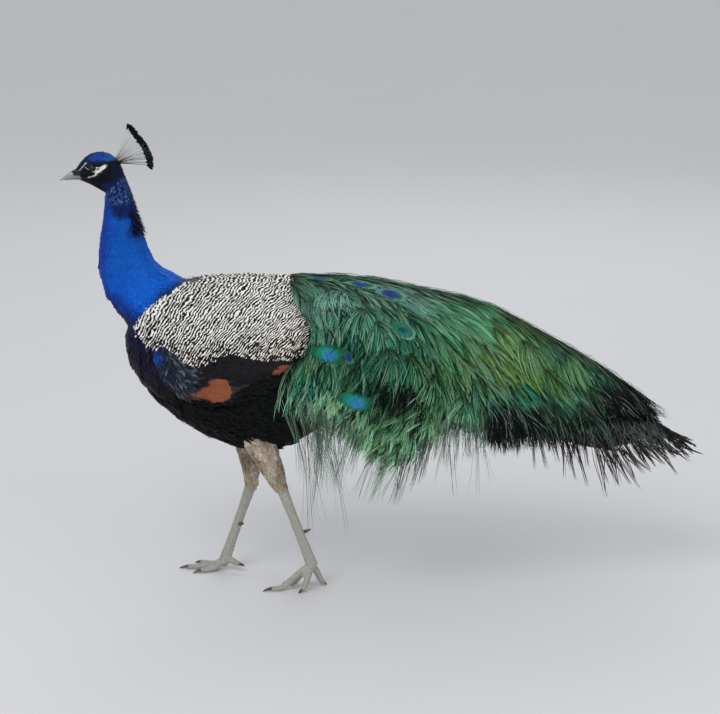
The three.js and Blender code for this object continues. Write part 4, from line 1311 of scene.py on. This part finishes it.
def growTrain():
    rng = np.random.default_rng(61)
    size = trainSizes
    count = size["under"]
    side = rng.choice([-1, 1], count)
    x0 = rng.uniform(84, 715, count)
    w0 = rng.uniform(0, 0.93, count) * thickHem(x0, side)
    reach = tableAt(size["long"], x0)
    # The strands close to the body are kept dark: painted shade deep under the others.
    made = [(*trainLines(rng, x0, w0, side, rng.normal(0, 0.09, count), reach * rng.uniform(0.7, 1.1, count),
                         np.arange(count), 0.0, rng.uniform(-8, -5, count), 0.5, 0.35),
             side, rng.random(count) * 0.28, 1.4 * np.ones(count))]

    places = trainPlaces(rng)
    lockCount = len(places) * size["locks"]
    plume = np.repeat(np.arange(len(places)), size["locks"])
    fan = rng.uniform(-1, 1, lockCount)
    back = rng.random(lockCount) ** 1.5 * 44  # how far up the shaft from its tip the lock springs
    flow = hangWay(*places.T)
    shaft = np.minimum(flow, 0.5)[plume]  # shafts lie along the train, locks hang off them
    lockX = places[plume, 0] - back * np.cos(shaft) + rng.normal(0, 1.5, lockCount)
    lockW = places[plume, 1] - back * np.sin(shaft) + rng.normal(0, 2.5, lockCount)
    wide = np.radians(24 + 16 * ramp(0.5, 1.4, flow))[plume]
    kind = rng.random(lockCount)
    pale = np.interp(lockX, [60, 150, 330, 480, 740], [0.38, 0.38, 0.36, 0.22, 0.22])
    toHem = thickHem(lockX, places[plume, 2]) - lockW
    pale = pale + 0.2 * (1 - ramp(40, 150, toHem))  # more bright, glinting locks towards the hem: painted highlights
    sheen = blob(lockX, lockW, 385, 60, 90, 40)
    # A lock's brightness is painted light and shade over a random spread: dark locks are painted shade in the
    # gaps between the others, bright ones take a painted glint.
    lockLight = np.where(kind < 1 - pale, 0.55, 0.95)
    lockLight = np.where(kind < 0.3 - 0.18 * sheen, 0.14 + 0.2 * sheen, lockLight)
    lockLight = lockLight * rng.uniform(0.8, 1.12, lockCount)
    # Painted light: the locks near the hem, in front, are made brighter, as the hem catches the light.
    nearHem = (1 - ramp(30, 90, toHem)) * (1 - ramp(330, 400, lockX))
    lockLight = lockLight * (1 + 0.22 * nearHem + 0.1 * sheen)
    lockLong = tableAt(size["long"], lockX) * rng.uniform(0.6, 1.15, lockCount)
    lockHigh = rng.uniform(-5.5, -2.2, lockCount)
    sparse = (lockX < 100) & (rng.random(lockCount) < 0.6 * ramp(150, 200, lockW))  # few over the black belly
    group = np.repeat(np.arange(lockCount)[~sparse], size["bunch"])
    count = len(group)
    side = places[plume[group], 2]
    made.append((*trainLines(rng, lockX[group] + rng.normal(0, 1.3, count),
                             lockW[group] + rng.normal(0, 1.3, count), side,
                             (fan * wide)[group] + rng.normal(0, 0.05, count),
                             lockLong[group] * rng.uniform(0.8, 1.1, count), group, 0.8, lockHigh[group], 2.2,
                             0.4), side, lockLight[group] * rng.uniform(0.85, 1.1, count), np.ones(count)))

    for x, z, side, long, least, most in size["tufts"]:
        count = size["perTuft"]
        x0 = x + rng.normal(0, 4.5, count)
        side = np.full(count, side)
        w0 = reachTo(x, z, side[0]) + rng.normal(0, 3, count)
        fan = np.radians(rng.uniform(least, most, count)) - hangWay(x0, w0, side)
        # Dark strands are painted shade under the tuft, bright ones take a painted glint.
        strandLight = rng.choice([0.16, 0.6, 0.95], count, p=[0.25, 0.4, 0.35]) * rng.uniform(0.85, 1.1, count)
        long = long * rng.uniform(0.6, 1.1, count)
        made.append((*trainLines(rng, x0, w0, side, fan, long, np.arange(count), 0.0,
                                 rng.uniform(-1.5, 0.6, count), 2.5, 0.4),
                     side, strandLight, 1.15 * np.ones(count)))

    count = size["crossing"]
    side = rng.choice([-1, 1], count)
    x0, w0 = rng.uniform(100, 712, count), rng.uniform(1, 10, count)
    made.append((*trainLines(rng, x0, w0, side, rng.uniform(-0.75, -0.2, count), rng.uniform(50, 90, count),
                             np.arange(count), 0.0, rng.uniform(-2, 0.5, count), 2.0, 0.5, -26), side,
                 rng.choice([0.2, 0.55, 0.85], count), np.ones(count)))

    count = size["strays"]
    side = rng.choice([-1, 1], count)
    x0, w0 = rng.uniform(120, 700, count), rng.uniform(1, 9, count)
    made.append((*trainLines(rng, x0, w0, side, rng.uniform(-0.4, 0.3, count), rng.uniform(40, 80, count),
                             np.arange(count), 0.0, rng.uniform(0, 1.5, count), 4.0, 0.5), side,
                 rng.uniform(0.2, 0.7, count), 0.6 * np.ones(count)))

    x0, w0, lines, facing, side, strandLight, wide = (np.concatenate(part) for part in zip(*made))
    count = len(x0)
    base, inkAndHollowShade = trainTone(x0, w0, side)
    # Painted light and shade: the darkest strands stand for the shaded gaps between locks, and the brightest
    # take a painted glint.
    colours = mixed(base * 0.12, base * 1.45, ramp(0.05, 0.62, strandLight))
    glint = mixed(tones["glintTeal"], tones["glintOlive"], ramp(0, 1, rng.random(count)))
    glint = mixed(glint, tones["pale"], rng.random(count) * 0.8)
    colours = mixed(colours, glint, ramp(0.6, 1.0, strandLight) * 0.72 * (1 - inkAndHollowShade * 0.86))
    lit = (1 - ramp(50, 140, thickHem(x0, side) - w0)) * (1 - ramp(370, 440, x0)) * ramp(0.45, 0.85, strandLight)
    colours = colours * (1 + 0.6 * lit[:, None])  # the hem's outer strands catch the light
    # Painted shade: each strand is darkest at its root, where it lies under the strands above, and lightens
    # towards its tip.
    colours = colours[:, None] * np.array([0.14, 0.36, 0.64, 0.92, 1.1, 1.22, 1.3])[:, None]
    kept = np.where(rng.random(count) < 0.13, 0.25, 0.96)  # a few green and grey strands lie over the black
    pick = np.digitize(rng.random(count), [0.85, 0.94])
    greyTeal = mixed(tones["teal"], tones["hairPale"], 0.4) * 0.8
    black = np.stack([tones["ink"], tones["hairPale"] * 0.8, greyTeal])[pick]
    colours = mixed(colours, black[:, None], inkShare(lines) * kept[:, None])
    wide = wide * (0.6 + 0.4 * ramp(95, 130, x0))  # thin single strands over the belly
    width = size["wide"] * wide * rng.uniform(0.6, 1.25, count)
    width = width[:, None] * np.array([0.7, 1, 1, 0.95, 0.8, 0.55, 0.12])
    rootUv = trainUv(x0, w0, side)
    bands = np.digitize(x0, [185, 300, 440])
    for band, title in enumerate(("front", "forward", "middle", "rear")):
        for word, way in sides:
            pick = (bands == band) & (side == way)
            nodes = [f"train_{word}_{title}"] if title != "forward" else []
            if word == "left" and nodes:
                nodes.append(f"train_crown_{title}")
            ribbonPiece(f"train_barbs_{word}_{title}", "train_feathers", "barb", lines[pick], facing[pick],
                        width[pick], colours[pick], rootUv[pick], replaces=nodes)


growTrain()


def growLiner():
    # A dark sheet under the train's strands, painted shade for the depth of the plumage, so that no light
    # shows through between them.
    xs, rows = np.linspace(100, 712, 60), 24
    parts = []
    for _, side in sides:
        hem = thickHem(xs, np.full(len(xs), side))
        short = np.interp(xs, [100, 300, 420, 735], [40, 34, 16, 14])
        w = np.linspace(0, 1, rows) * np.maximum(hem - short, 20)[:, None]
        x = np.repeat(xs[:, None], rows, 1)
        way = np.full(x.shape, side)
        inner = trainShell.point(x, w, way) - trainShell.outward(x, w, way) * 10
        faces = gridFaces(len(xs), rows)
        dark = mixed(trainTone(x.ravel(), w.ravel(), way.ravel())[0] * 0.12, tones["gap"] * 0.5, 0.5)
        parts.append((inner.reshape(-1, 3), faces if side > 0 else faces[:, ::-1], dark))
    finished(meshObject("train_lining", *joined(parts)), finishes["barb"])


growLiner()


# Eyespots: flat fans of barbs round a short shaft, coloured in rings
ocelliSizes = {
    "barbs": 72,  # on each side of the shaft
    "steps": 8,
    "high": 1.6,  # above the barbs round them
    # x, mm below the ridge, side, half length, height to length, turn towards the hem in degrees, kind
    "places": [(126, 24, -1, 23, 0.36, 2, "eye"), (201, 36, -1, 27, 0.44, 4, "eye"),
               (255, 56, -1, 25, 0.68, 9, "eye"), (275, 135, -1, 22, 0.68, 14, "faint"),
               (140, 190, -1, 28, 0.6, 12, "gem"), (178, 194, -1, 12, 0.68, 66, "eye"),
               (188, 275, -1, 30, 0.56, 12, "gem"), (152, 24, 1, 20, 0.5, 0, "eye"),
               (232, 44, 1, 21, 0.6, 6, "eye"), (300, 70, 1, 22, 0.68, 10, "eye"),
               (215, 104, 1, 21, 0.68, 14, "eye"), (372, 40, 1, 20, 0.6, 10, "faint"),
               (335, 130, 1, 21, 0.68, 24, "faint"), (150, 90, 1, 20, 0.68, 18, "eye"),
               (190, 190, 1, 24, 0.68, 30, "gem")],
}


def ocellusTone(a, b, green, kind):
    # Rings from the violet core outward: teal, then a thin pale line that shows most on the rear lower rim.
    r = np.hypot(a, b / 0.72)
    core, much = {"eye": (0.5, 0.8), "faint": (0.22, 1.0), "gem": (0.0, 0.0)}[kind]
    colour = np.broadcast_to(green, r.shape + (3,))
    rim = ramp(-0.7, 0.7, a + b) * much
    colour = mixed(colour, tones["ring"], np.exp(-((r - 0.92) / 0.08) ** 2) * 0.75 * rim)
    if kind == "gem":
        colour = mixed(colour, tones["turquoise"], (1 - ramp(0.35, 1.0, r)) * 0.75)
        return mixed(colour, tones["eyeBlue"], (1 - ramp(0.15, 0.62, np.hypot(a - 0.15, b - 0.1))) * 0.9)
    colour = mixed(colour, tones["teal"], (1 - ramp(0.74, 0.86, r)) * 0.8)
    colour = mixed(colour, tones["blueTeal"], 1 - ramp(core + 0.08, core + 0.2, r))
    middle = tones["blueTeal"] * 0.6 if kind == "faint" else tones["violet"]
    return mixed(colour, middle, 1 - ramp(core, core + 0.1, np.hypot(a + 0.1, b / 0.7)))


def growOcelli():
    rng = np.random.default_rng(71)
    size = ocelliSizes
    each, t = size["barbs"], np.linspace(0, 1, size["steps"])
    made = []
    for x0, w0, side, half, tall, turn, kind in size["places"]:
        c, s = math.cos(math.radians(turn)), math.sin(math.radians(turn))
        green = trainTone(*np.array([[x0], [w0], [side]], float))[0][0]
        for flank in (-1, 1):
            root = np.linspace(-1.25, 0.92, each) + rng.normal(0, 0.02, each)
            reach = np.sqrt(np.clip(1.05 - (root / 1.3) ** 2, 0.06, 1)) * rng.uniform(0.92, 1.22, each) * 1.05
            a = root[:, None] + reach[:, None] * t * (0.62 - 0.3 * t)
            b = flank * reach[:, None] * t * 0.68 * np.sqrt(np.clip(1.1 - 0.35 * t, 0, 1))
            x = x0 + half * (a * c - b * s)
            w = w0 + half * (a * s + b * c * tall / 0.68)
            way = np.full(x.shape, side)
            facing = trainShell.outward(x, w, way)
            high = (-0.3 if kind == "gem" else size["high"]) + 1.2 * (1 - np.hypot(a, b) ** 2).clip(-1, 1)
            high = high + rng.normal(0, 0.25, (each, 1))
            lines = trainShell.point(x, w, way) + facing * high[..., None]
            width = np.full((each, 1), half * 2.2 / each * 1.3) * np.array([1, 1, 1, 1, 0.9, 0.8, 0.6, 0.2])
            tint = ocellusTone(a, b, green, kind) * rng.uniform(0.75, 1.15, (each, 1, 1))
            made.append((lines, facing, width, tint, trainUv(x[:, 0], w[:, 0], side)))
    ribbonPiece("train_eyespots", "train_feathers", "barb", *(np.concatenate(part) for part in zip(*made)))


growOcelli()


# Tail: dark stiff feathers under the train, read off their plates
tailShell = Shell(tailNodes, np.linspace(215, 800, 40), 112, 3)
tailSizes = {
    "feathers": 15,
    "spread": 0.96,
    "from": 225,
    "to": 826,
    "shortening": 150,
    "half": 19,  # half the width of a feather
    "vane": [(0, 0.5), (0.3, 0.9), (0.72, 0.85), (0.86, 0.42), (1, 0.06)],  # its share from root to tip
    "barbs": 150,
}


def growTail():
    rng = np.random.default_rng(81)
    size = tailSizes
    each, middle = size["barbs"], (size["feathers"] - 1) / 2
    t = np.linspace(0, 1, 4)
    made = []
    for i in range(size["feathers"]):
        share = (i - middle) / middle * size["spread"]
        side = -1 if share < 0 else 1
        end = size["to"] - size["shortening"] * share * share
        layer = 1.6 * abs(share) * 2 + 0.6
        for flank in (-1, 1):
            u = np.linspace(0, 1, each) + rng.normal(0, 0.002, each)
            split = rng.random(each) < 0.06
            half = size["half"] * tableAt(size["vane"], u) * np.where(split, 0.8, 1)
            half = (half * (1 if flank * side > 0 else 0.72))[:, None]
            x = size["from"] + (end - size["from"]) * u[:, None] + half * t * 0.9
            x = np.minimum(x, end + np.maximum(x - end, 0) * 0.3)
            way = np.full(x.shape, side)
            w = np.abs(share) * tailShell.hem(np.minimum(x, 800), way) * 0.98 + flank * half * t
            facing = tailShell.outward(x, w, way)
            lines = tailShell.point(x, w, way) + facing * (layer - 2.2 * t[:, None] ** 2 - 1.5)
            width = np.array([4.6, 4.4, 3.8, 1.2]) * rng.uniform(0.8, 1.1, (each, 1))
            tint = mixed(tones["hair"], tones["hairPale"] * 0.35, rng.random(each) ** 3 * 0.5)
            bars = 1 + 0.25 * np.sin(u * 60 + rng.normal(0, 0.6, each))
            uv = np.stack([0.02 + 0.95 * u, np.full(each, 0.5 + 0.47 * share)], 1)
            made.append((lines, facing, width, tint * bars[:, None], uv))
    # A dark sheet under the tail's barbs, darker than they are as painted shade between them, so that no
    # light shows through.
    t, share = np.meshgrid(np.linspace(0, 1, 40), np.linspace(-0.94, 0.94, 21), indexing="ij")
    long = size["to"] - size["from"] - 16 - 26 * np.abs(share) - size["shortening"] * share ** 2
    x = size["from"] + long * t
    way = np.where(share < 0, -1, 1)
    w = np.abs(share) * tailShell.hem(x, way)
    inner = tailShell.point(x, w, way) - tailShell.outward(x, w, way) * 1.8
    dark = np.repeat(tones["hair"][None] * 0.6, x.size, 0)
    lining = meshObject("tail_lining", inner.reshape(-1, 3), gridFaces(40, 21), dark)
    finished(lining, finishes["vane"])
    ribbonPiece("tail_feathers", "tail_feathers", "vane", *(np.concatenate(part) for part in zip(*made)),
                replaces=tailNodes)


growTail()


# Loose dark strands that hang from the rear, and the sparse long ones of the fringe
hangSizes = {
    "locks": 260,
    "each": 6,
    "steps": 8,
    "wide": 0.9,
    # x, and how far the strands hang or how many degrees they lean there
    "low": [(420, 60), (470, 105), (560, 112), (680, 105), (790, 60)],
    "lean": [(400, -14), (480, -2), (560, 6), (640, 26), (720, 44), (800, 58)],
    "wisps": 420,
    "wispWide": 0.62,
    "fringe": 330,  # locks of the fringe
    "fringeEach": 4,  # strands in each
    "fringeWide": 0.8,
    "fringeLong": [(50, 250), (130, 270), (160, 180), (200, 120), (260, 105), (330, 125), (430, 175)],
    "fringeLean": [(46, 14), (90, 12), (135, 0), (171, -12), (234, -20), (287, -22), (341, -8), (395, 2)],
}


def hangingLines(rng, base, long, way, bend, lock, pull, wide):
    # Strands that hang from their bases and draw together in locks: lines, facing and width of each.
    t = np.linspace(0, 1, hangSizes["steps"])[:, None]
    lines = base[:, None] + long[:, None, None] * (way[:, None] * t + bend[:, None] * t ** 2)
    lines = towardsMean(lines, lock, pull * ramp(0.1, 0.8, t))
    facing = unit(np.broadcast_to((0, -1, 0.2), lines.shape) + rng.normal(0, 0.5, (len(base), 1, 3)))
    return lines, facing, rng.uniform(*wide, len(base))[:, None]


def growHanging():
    rng = np.random.default_rng(91)
    size = hangSizes
    count = size["locks"] * size["each"]
    lock = np.repeat(np.arange(size["locks"]), size["each"])
    lockX = rng.uniform(420, 790, size["locks"])
    side = rng.choice([-1, 1], size["locks"])[lock]
    lockShare = rng.uniform(0.35, 1.0, size["locks"])
    x0 = lockX[lock] + rng.normal(0, 5, count)
    hem = tailShell.hem(np.minimum(x0, 800), side)
    w0 = hem * np.clip(lockShare[lock] + rng.normal(0, 0.03, count), 0.1, 1)
    low = tableAt(size["low"], x0) * rng.uniform(0.35, 1.0, size["locks"])[lock]
    lean = tableAt(size["lean"], x0) + rng.normal(0, 8, size["locks"])[lock] + rng.normal(0, 3, count)
    lean = np.radians(lean)
    out = rng.uniform(0.0, 0.25, size["locks"])[lock] * side
    way = unit(np.stack([np.sin(lean), out, -np.cos(lean)], 1))
    bend = np.stack([0.16 * rng.normal(0, 0.7, count), 0 * x0, 0 * x0], 1)
    low = low * rng.uniform(0.85, 1.1, count)
    base = tailShell.point(x0, w0, side)
    lines, facing, wide = hangingLines(rng, base, low, way, bend, lock, 0.8, (0.6, 1.5))
    colours = mixed(tones["hair"], tones["hairPale"], (rng.random(count) ** 3 * 0.5))
    uv = np.stack([0.02 + 0.95 * (x0 - 400) / 400, 0.5 + 0.4 * side * w0 / hem], 1)
    ribbonPiece("tail_strands", "tail_feathers", "barb", lines, facing,
                size["wide"] * wide * np.array([1, 1.3, 1.5, 1.5, 1.3, 1.0, 0.7, 0.15]), colours, uv)

    count = size["wisps"]  # thin pale strands that fan over the black rear
    t = np.linspace(0, 1, size["steps"])
    side = rng.choice([-1, 1], count)
    x0 = rng.uniform(530, 750, count)
    w0 = tailShell.hem(x0, side) * rng.uniform(0.1, 0.8, count)
    heading = np.radians(rng.normal(34, 24, count))[:, None] + 0.6 * t
    long = rng.uniform(30, 85, count)[:, None] * t
    x = np.minimum(x0[:, None] + np.cos(heading) * long, 822)
    w = np.clip(w0[:, None] + np.sin(heading) * long, 0, tailShell.hem(x, side[:, None]))
    way = np.repeat(side[:, None], size["steps"], 1)
    facing = tailShell.outward(x, w, way)
    lines = tailShell.point(x, w, way) + facing * (2.5 + 3 * t[:, None])
    width = size["wispWide"] * rng.uniform(0.7, 1.3, count)[:, None]
    width = width * np.array([0.8, 1, 1, 1, 0.9, 0.8, 0.6, 0.15])
    colours = mixed(tones["hairPale"] * 0.25, tones["hairPale"], rng.random(count))
    colours = mixed(colours, tones["teal"], (rng.random(count) < 0.3) * 0.6)
    uv = np.stack([0.02 + 0.95 * (x0 - 400) / 400, 0.5 + 0.4 * side * w0 / tailShell.hem(x0, side)], 1)
    ribbonPiece("tail_wisps", "tail_feathers", "barb", lines, facing, width, colours, uv)

    count = size["fringe"] * size["fringeEach"]
    lock = np.repeat(np.arange(size["fringe"]), size["fringeEach"])
    side = rng.choice([-1, 1], size["fringe"])[lock]
    lockX = rng.uniform(52, 430, size["fringe"])
    x0 = lockX[lock] + rng.normal(0, 3, count)
    w0 = thickHem(x0, side) - rng.uniform(8, 60, size["fringe"])[lock]
    base = trainShell.point(x0, w0, side) - trainShell.outward(x0, w0, side) * 4
    long = (0.25 + 0.75 * rng.random(size["fringe"]) ** 1.6)[lock] * tableAt(size["fringeLong"], x0)
    lean = np.radians(tableAt(size["fringeLean"], x0) + rng.normal(0, 5, size["fringe"])[lock])
    way = unit(np.stack([np.sin(lean), 0.05 * side, -np.cos(lean)], 1))
    bend = np.stack([rng.normal(0, 0.1, count), 0 * x0, 0 * x0], 1)
    lines, facing, wide = hangingLines(rng, base, long, way, bend, lock, 0.6, (0.6, 1.2))
    colours = mixed(tones["deep"] * 0.35, tones["pale"] * 0.8, rng.random(size["fringe"])[lock] ** 1.8)
    colours = mixed(colours, tones["hairPale"] * 0.5, 0.35)
    width = size["fringeWide"] * wide * np.array([1, 1, 1, 1, 0.9, 0.8, 0.6, 0.15])
    ribbonPiece("train_fringe", "train_feathers", "barb", lines, facing, width, colours,
                trainUv(x0, w0, side, 70, 690))


growHanging()


# Crest: bare shafts in a fan, each with a dark brush of barbs at its tip
crestSizes = {
    "foot": (-241, 803),
    "shafts": 24,
    "low": -7,
    "high": 71,
    "inner": (53, 51, 50, 52, 61),  # how far out the brushes begin, from the lowest shaft to the highest
    "outer": (66, 65, 62.5, 64, 73),
    "barbs": 34,
}


def growCrest():
    rng = np.random.default_rng(95)
    size = crestSizes
    foot = np.array([size["foot"][0], 0.0, size["foot"][1]])
    toLeft = np.array([0, -1.0, 0])
    shafts, tips = [], []
    for i in range(size["shafts"]):
        share = i / (size["shafts"] - 1)
        angle = math.radians(size["low"] + (size["high"] - size["low"]) * share + rng.normal(0, 0.6))
        out = unit(np.array([math.cos(angle), 0.08 * math.sin(i * 2.4), math.sin(angle)]))
        across = np.array([-math.sin(angle), 0, math.cos(angle)])
        inner, outer = (np.interp(share * 4, np.arange(5), size[key]) + rng.normal(0, 0.5)
                        for key in ("inner", "outer"))
        t = np.linspace(0, 1, 6)[:, None]
        shaft = foot + out * t * (outer - 4) + across * rng.normal(0, 0.9) * np.sin(math.pi * t)
        shaft = shaft + across * (share - 0.4) * 10 * (1 - t) ** 2 - out * 3 * (1 - t) ** 2
        tint = mixed(linear("453e36"), linear("b9b3a8"), ramp(0.15, 0.6, share))
        for turn in (toLeft, np.cross(out, toLeft)):
            wide = np.linspace(0.9, 0.5, 6) * (1.3 - 0.6 * share)
            shafts.append((shaft, np.broadcast_to(turn, shaft.shape), wide, tint))
        for k in range(size["barbs"]):
            at = (k + rng.random()) / size["barbs"]
            fan = (1 if k % 2 else -1) * (12 + 30 * (1 - at)) * (1 - 0.75 * ramp(0.85, 1.0, share))
            fan = math.radians(fan + rng.normal(0, 5))
            root = foot + out * (inner + (outer - inner) * 0.6 * at)
            way = unit(out * math.cos(fan) + across * math.sin(fan) + np.array([0, rng.normal(0, 0.2), 0]))
            long = (outer - inner) * (1 - 0.6 * at) * rng.uniform(0.8, 1.0)
            s = np.linspace(0, 1, 4)[:, None]
            facing = np.broadcast_to(unit(toLeft + rng.normal(0, 0.35, 3)), (4, 3))
            sheen = (0.15 + 0.7 * max(0.0, 1 - abs(share - 0.32) / 0.3)) * rng.random() ** 4
            tint = mixed(linear("08090f"), linear("5f8f92" if rng.random() < 0.5 else "1f5c66"), sheen)
            line = root + way * long * s + out * 0.1 * long * s ** 2
            tips.append((line, facing, (0.9, 1.5, 1.3, 0.5), tint))
    for title, finish, made, row, nodes in (("crest_shafts", "vane", shafts, 0.3, ["crest"]),
                                            ("crest_tips", "barb", tips, 0.7, [])):
        uv = np.stack([np.linspace(0.05, 0.95, len(made)), np.full(len(made), row)], 1)
        ribbonPiece(title, "crest_feathers", finish, *map(np.array, zip(*made)), uv, replaces=nodes)


growCrest()


# Horn parts: bill, claws and spurs, smoothed copies of their nodes
def hornFinish(name, roughness, streakSize, depth):
    # Horn grown in fine lengthwise layers, worn smooth: soft streaks and a dull gloss.
    material, tree, shader = newMaterial(name, Roughness=roughness)
    colour = addNode(tree, "ShaderNodeAttribute", attribute_name="tone").outputs["Color"]
    place = addNode(tree, "ShaderNodeTexCoord").outputs["Object"]
    stretch = (60, 1000 / streakSize, 1000 / streakSize)
    drawn = addNode(tree, "ShaderNodeMapping", {"Vector": place, "Scale": stretch})
    grain = addNode(tree, "ShaderNodeTexNoise", {"Vector": drawn, "Scale": 1.0, "Detail": 4.0}).outputs["Fac"]
    gain = addNode(tree, "ShaderNodeMapRange", {0: grain, 1: 0.25, 2: 0.75, 3: 0.78, 4: 1.18})
    surfaced(tree, shader, colour, gain, grain, 0.4, depth)
    return material


finishes["bill"] = hornFinish("greyBillHorn", 0.38, 0.9, 0.12)
finishes["claw"] = hornFinish("darkClawHorn", 0.36, 0.6, 0.1)


def smoothCopy(name, nodes, voxel, passes, sculpt=None, tint=None, finish="claw"):
    points, faces = cadArrays(*nodes)
    made = remeshed(meshObject(name, points, faces), voxel)
    points, faces, edges = meshArrays(made)
    points = evened(points, edges, passes)
    if sculpt:
        points = sculpt(points, vertexNormals(points, faces))
    movePoints(made, points)
    paint(made.data, tint(points))
    shadeSmooth(made.data)
    print(name, len(faces), "triangles")
    return finished(made, finishes[finish], nodes)


nostril = ((-317.5, 783.2), (-311.5, 785.0))


def nostrils(points, normals):
    side = ramp(2.0, 4.5, np.abs(points[:, 1]))
    slit = strokeMask(points, *nostril, 1.5, 2.0, 0.6)
    rimmed = strokeMask(points, (-318.5, 783.0), (-310.5, 785.6), 3.6, 4.4, 0.8) - slit
    return points + normals * ((0.35 * rimmed - 1.5 * slit) * side)[:, None]


def billTint(points):
    x, z = points[:, 0], points[:, 2]
    colour = mixed(linear("7d7d81"), linear("959493"), ramp(305, 340, -x))
    # Painted highlight: a pale patch on the upper bill in front of the nostril.
    pale = strokeMask(points, (-327, 780), (-318, 783), 1.5, 2.2, 1.5)
    colour = mixed(colour, linear("c9c8c4"), pale * 0.7)
    ridge = np.maximum(strokeMask(points, (-308, 791), (-328, 786), 4, 2.6, 1.2),
                       strokeMask(points, (-328, 786), (-346, 775), 2.6, 1.6))
    colour = mixed(colour, linear("34353b"), ridge * 0.85)
    low = 1 - ramp(-1.2, 1.2, z - (775.5 + 0.18 * (x + 302)))
    colour = mixed(colour, linear("6e6d70"), low * 0.6)
    lore = ramp(-2.5, 0.5, x + 320.5 + 1.6 * ripple(points, 2.2, 96) - 0.9 * (782 - z))
    colour = mixed(colour, tones["faceBlack"], lore * (1 - ramp(-0.5, 1.5, 778.5 - z)))
    slit = strokeMask(points, *nostril, 1.3, 1.8, 0.4) * ramp(2.0, 4.5, np.abs(points[:, 1]))
    return mixed(colour, linear("151414"), slit)


smoothCopy("bill_upper_horn", ["bill_upper"], 0.45, 6, nostrils, billTint, "bill")
smoothCopy("bill_lower_horn", ["bill_lower"], 0.45, 6, None, billTint, "bill")


def clawTint(points):
    return mixed(linear("3a332d"), linear("6b6157"), 0.5 + 0.5 * ripple(points, 4, 97))


for word, _ in sides:
    smoothCopy(f"claws_{word}", [f"claw_{word}_{toe}" for toe in toeNames], 0.4, 4, None, clawTint)
    smoothCopy(f"spur_{word}_horn", [f"spur_{word}"], 0.4, 4, None, clawTint)


# Eyes
def buildEyes():
    # Wet eyeball: a clear glossy cornea over a brown iris of uneven tone and a black pupil.
    material, tree, shader = newMaterial("wetEyeball", Roughness=0.12, Specular_IOR_Level=0.3)
    shader.inputs["Coat Weight"].default_value = 0.3
    shader.inputs["Coat Roughness"].default_value = 0.03
    colour = addNode(tree, "ShaderNodeAttribute", attribute_name="tone").outputs["Color"]
    tree.links.new(colour, shader.inputs["Base Color"])
    for word, side in sides:
        centre = toBird(sum(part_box(f"eye_{word}"), Vector()) / 2)
        ball = bmesh.new()
        bmesh.ops.create_icosphere(ball, subdivisions=5, radius=skinSizes["eye"]["ball"])
        mesh = bpy.data.meshes.new(f"eyeball_{word}")
        ball.to_mesh(mesh)
        ball.free()
        thing = inScene(f"eyeball_{word}", mesh)
        raw = np.array([v.co[:] for v in mesh.vertices])
        movePoints(thing, centre + raw)
        way = unit(np.array([-0.22, side, 0.04]))
        off = np.linalg.norm(raw - (raw @ way)[:, None] * way, axis=1) + np.where(raw @ way > 0, 0, 20)
        iris = mixed(linear("140d08"), linear("24170c"), 0.5 + 0.5 * ripple(raw * 3, 1.6, 98))
        paint(mesh, mixed(tones["ink"] * 0.4, iris, ramp(2.5, 2.8, off) * (1 - ramp(4.3, 4.8, off))))
        shadeSmooth(mesh)
        finished(thing, material, [f"eye_{word}"])
    print("eyes made")


buildEyes()


# Skin finish
def skinFinish():
    # Bare skin and leg scales: fine pebbling on the face, small scales on the legs, a dry soft surface.
    material, tree, shader = newMaterial("dryBirdSkin", Roughness=0.62)
    colour = addNode(tree, "ShaderNodeAttribute", attribute_name="tone").outputs["Color"]
    place = addNode(tree, "ShaderNodeTexCoord").outputs["Object"]
    pebble = addNode(tree, "ShaderNodeTexVoronoi", {"Vector": place, "Scale": 1000 / 1.1})
    cloud = addNode(tree, "ShaderNodeTexNoise", {"Vector": place, "Scale": 1000 / 7.0, "Detail": 3.0})
    gain = addNode(tree, "ShaderNodeMapRange", {0: cloud.outputs["Fac"], 1: 0.3, 2: 0.7, 3: 0.86, 4: 1.1})
    surfaced(tree, shader, colour, gain, pebble.outputs["Distance"], 0.35, 0.2)
    return material


paint(skin.data, skinTone)
finished(skin, skinFinish(), fleshNodes)


# Leg scales
def growScales():
    soles = (skinNormals[:, 2] <= -0.5) | (skinPoints[:, 2] <= 3)
    for kind, name, chosen, seed in (("shank", "scales_shanks", skinKind == "shank", 101),
                                     ("toe", "scales_toes", (skinKind == "toe") & ~soles, 103)):
        growTract(name, Roots(chosen, kind, seed), scute, "scale", seed + 1, 0.1, 0.05,
                  legUnwrap)


growScales()
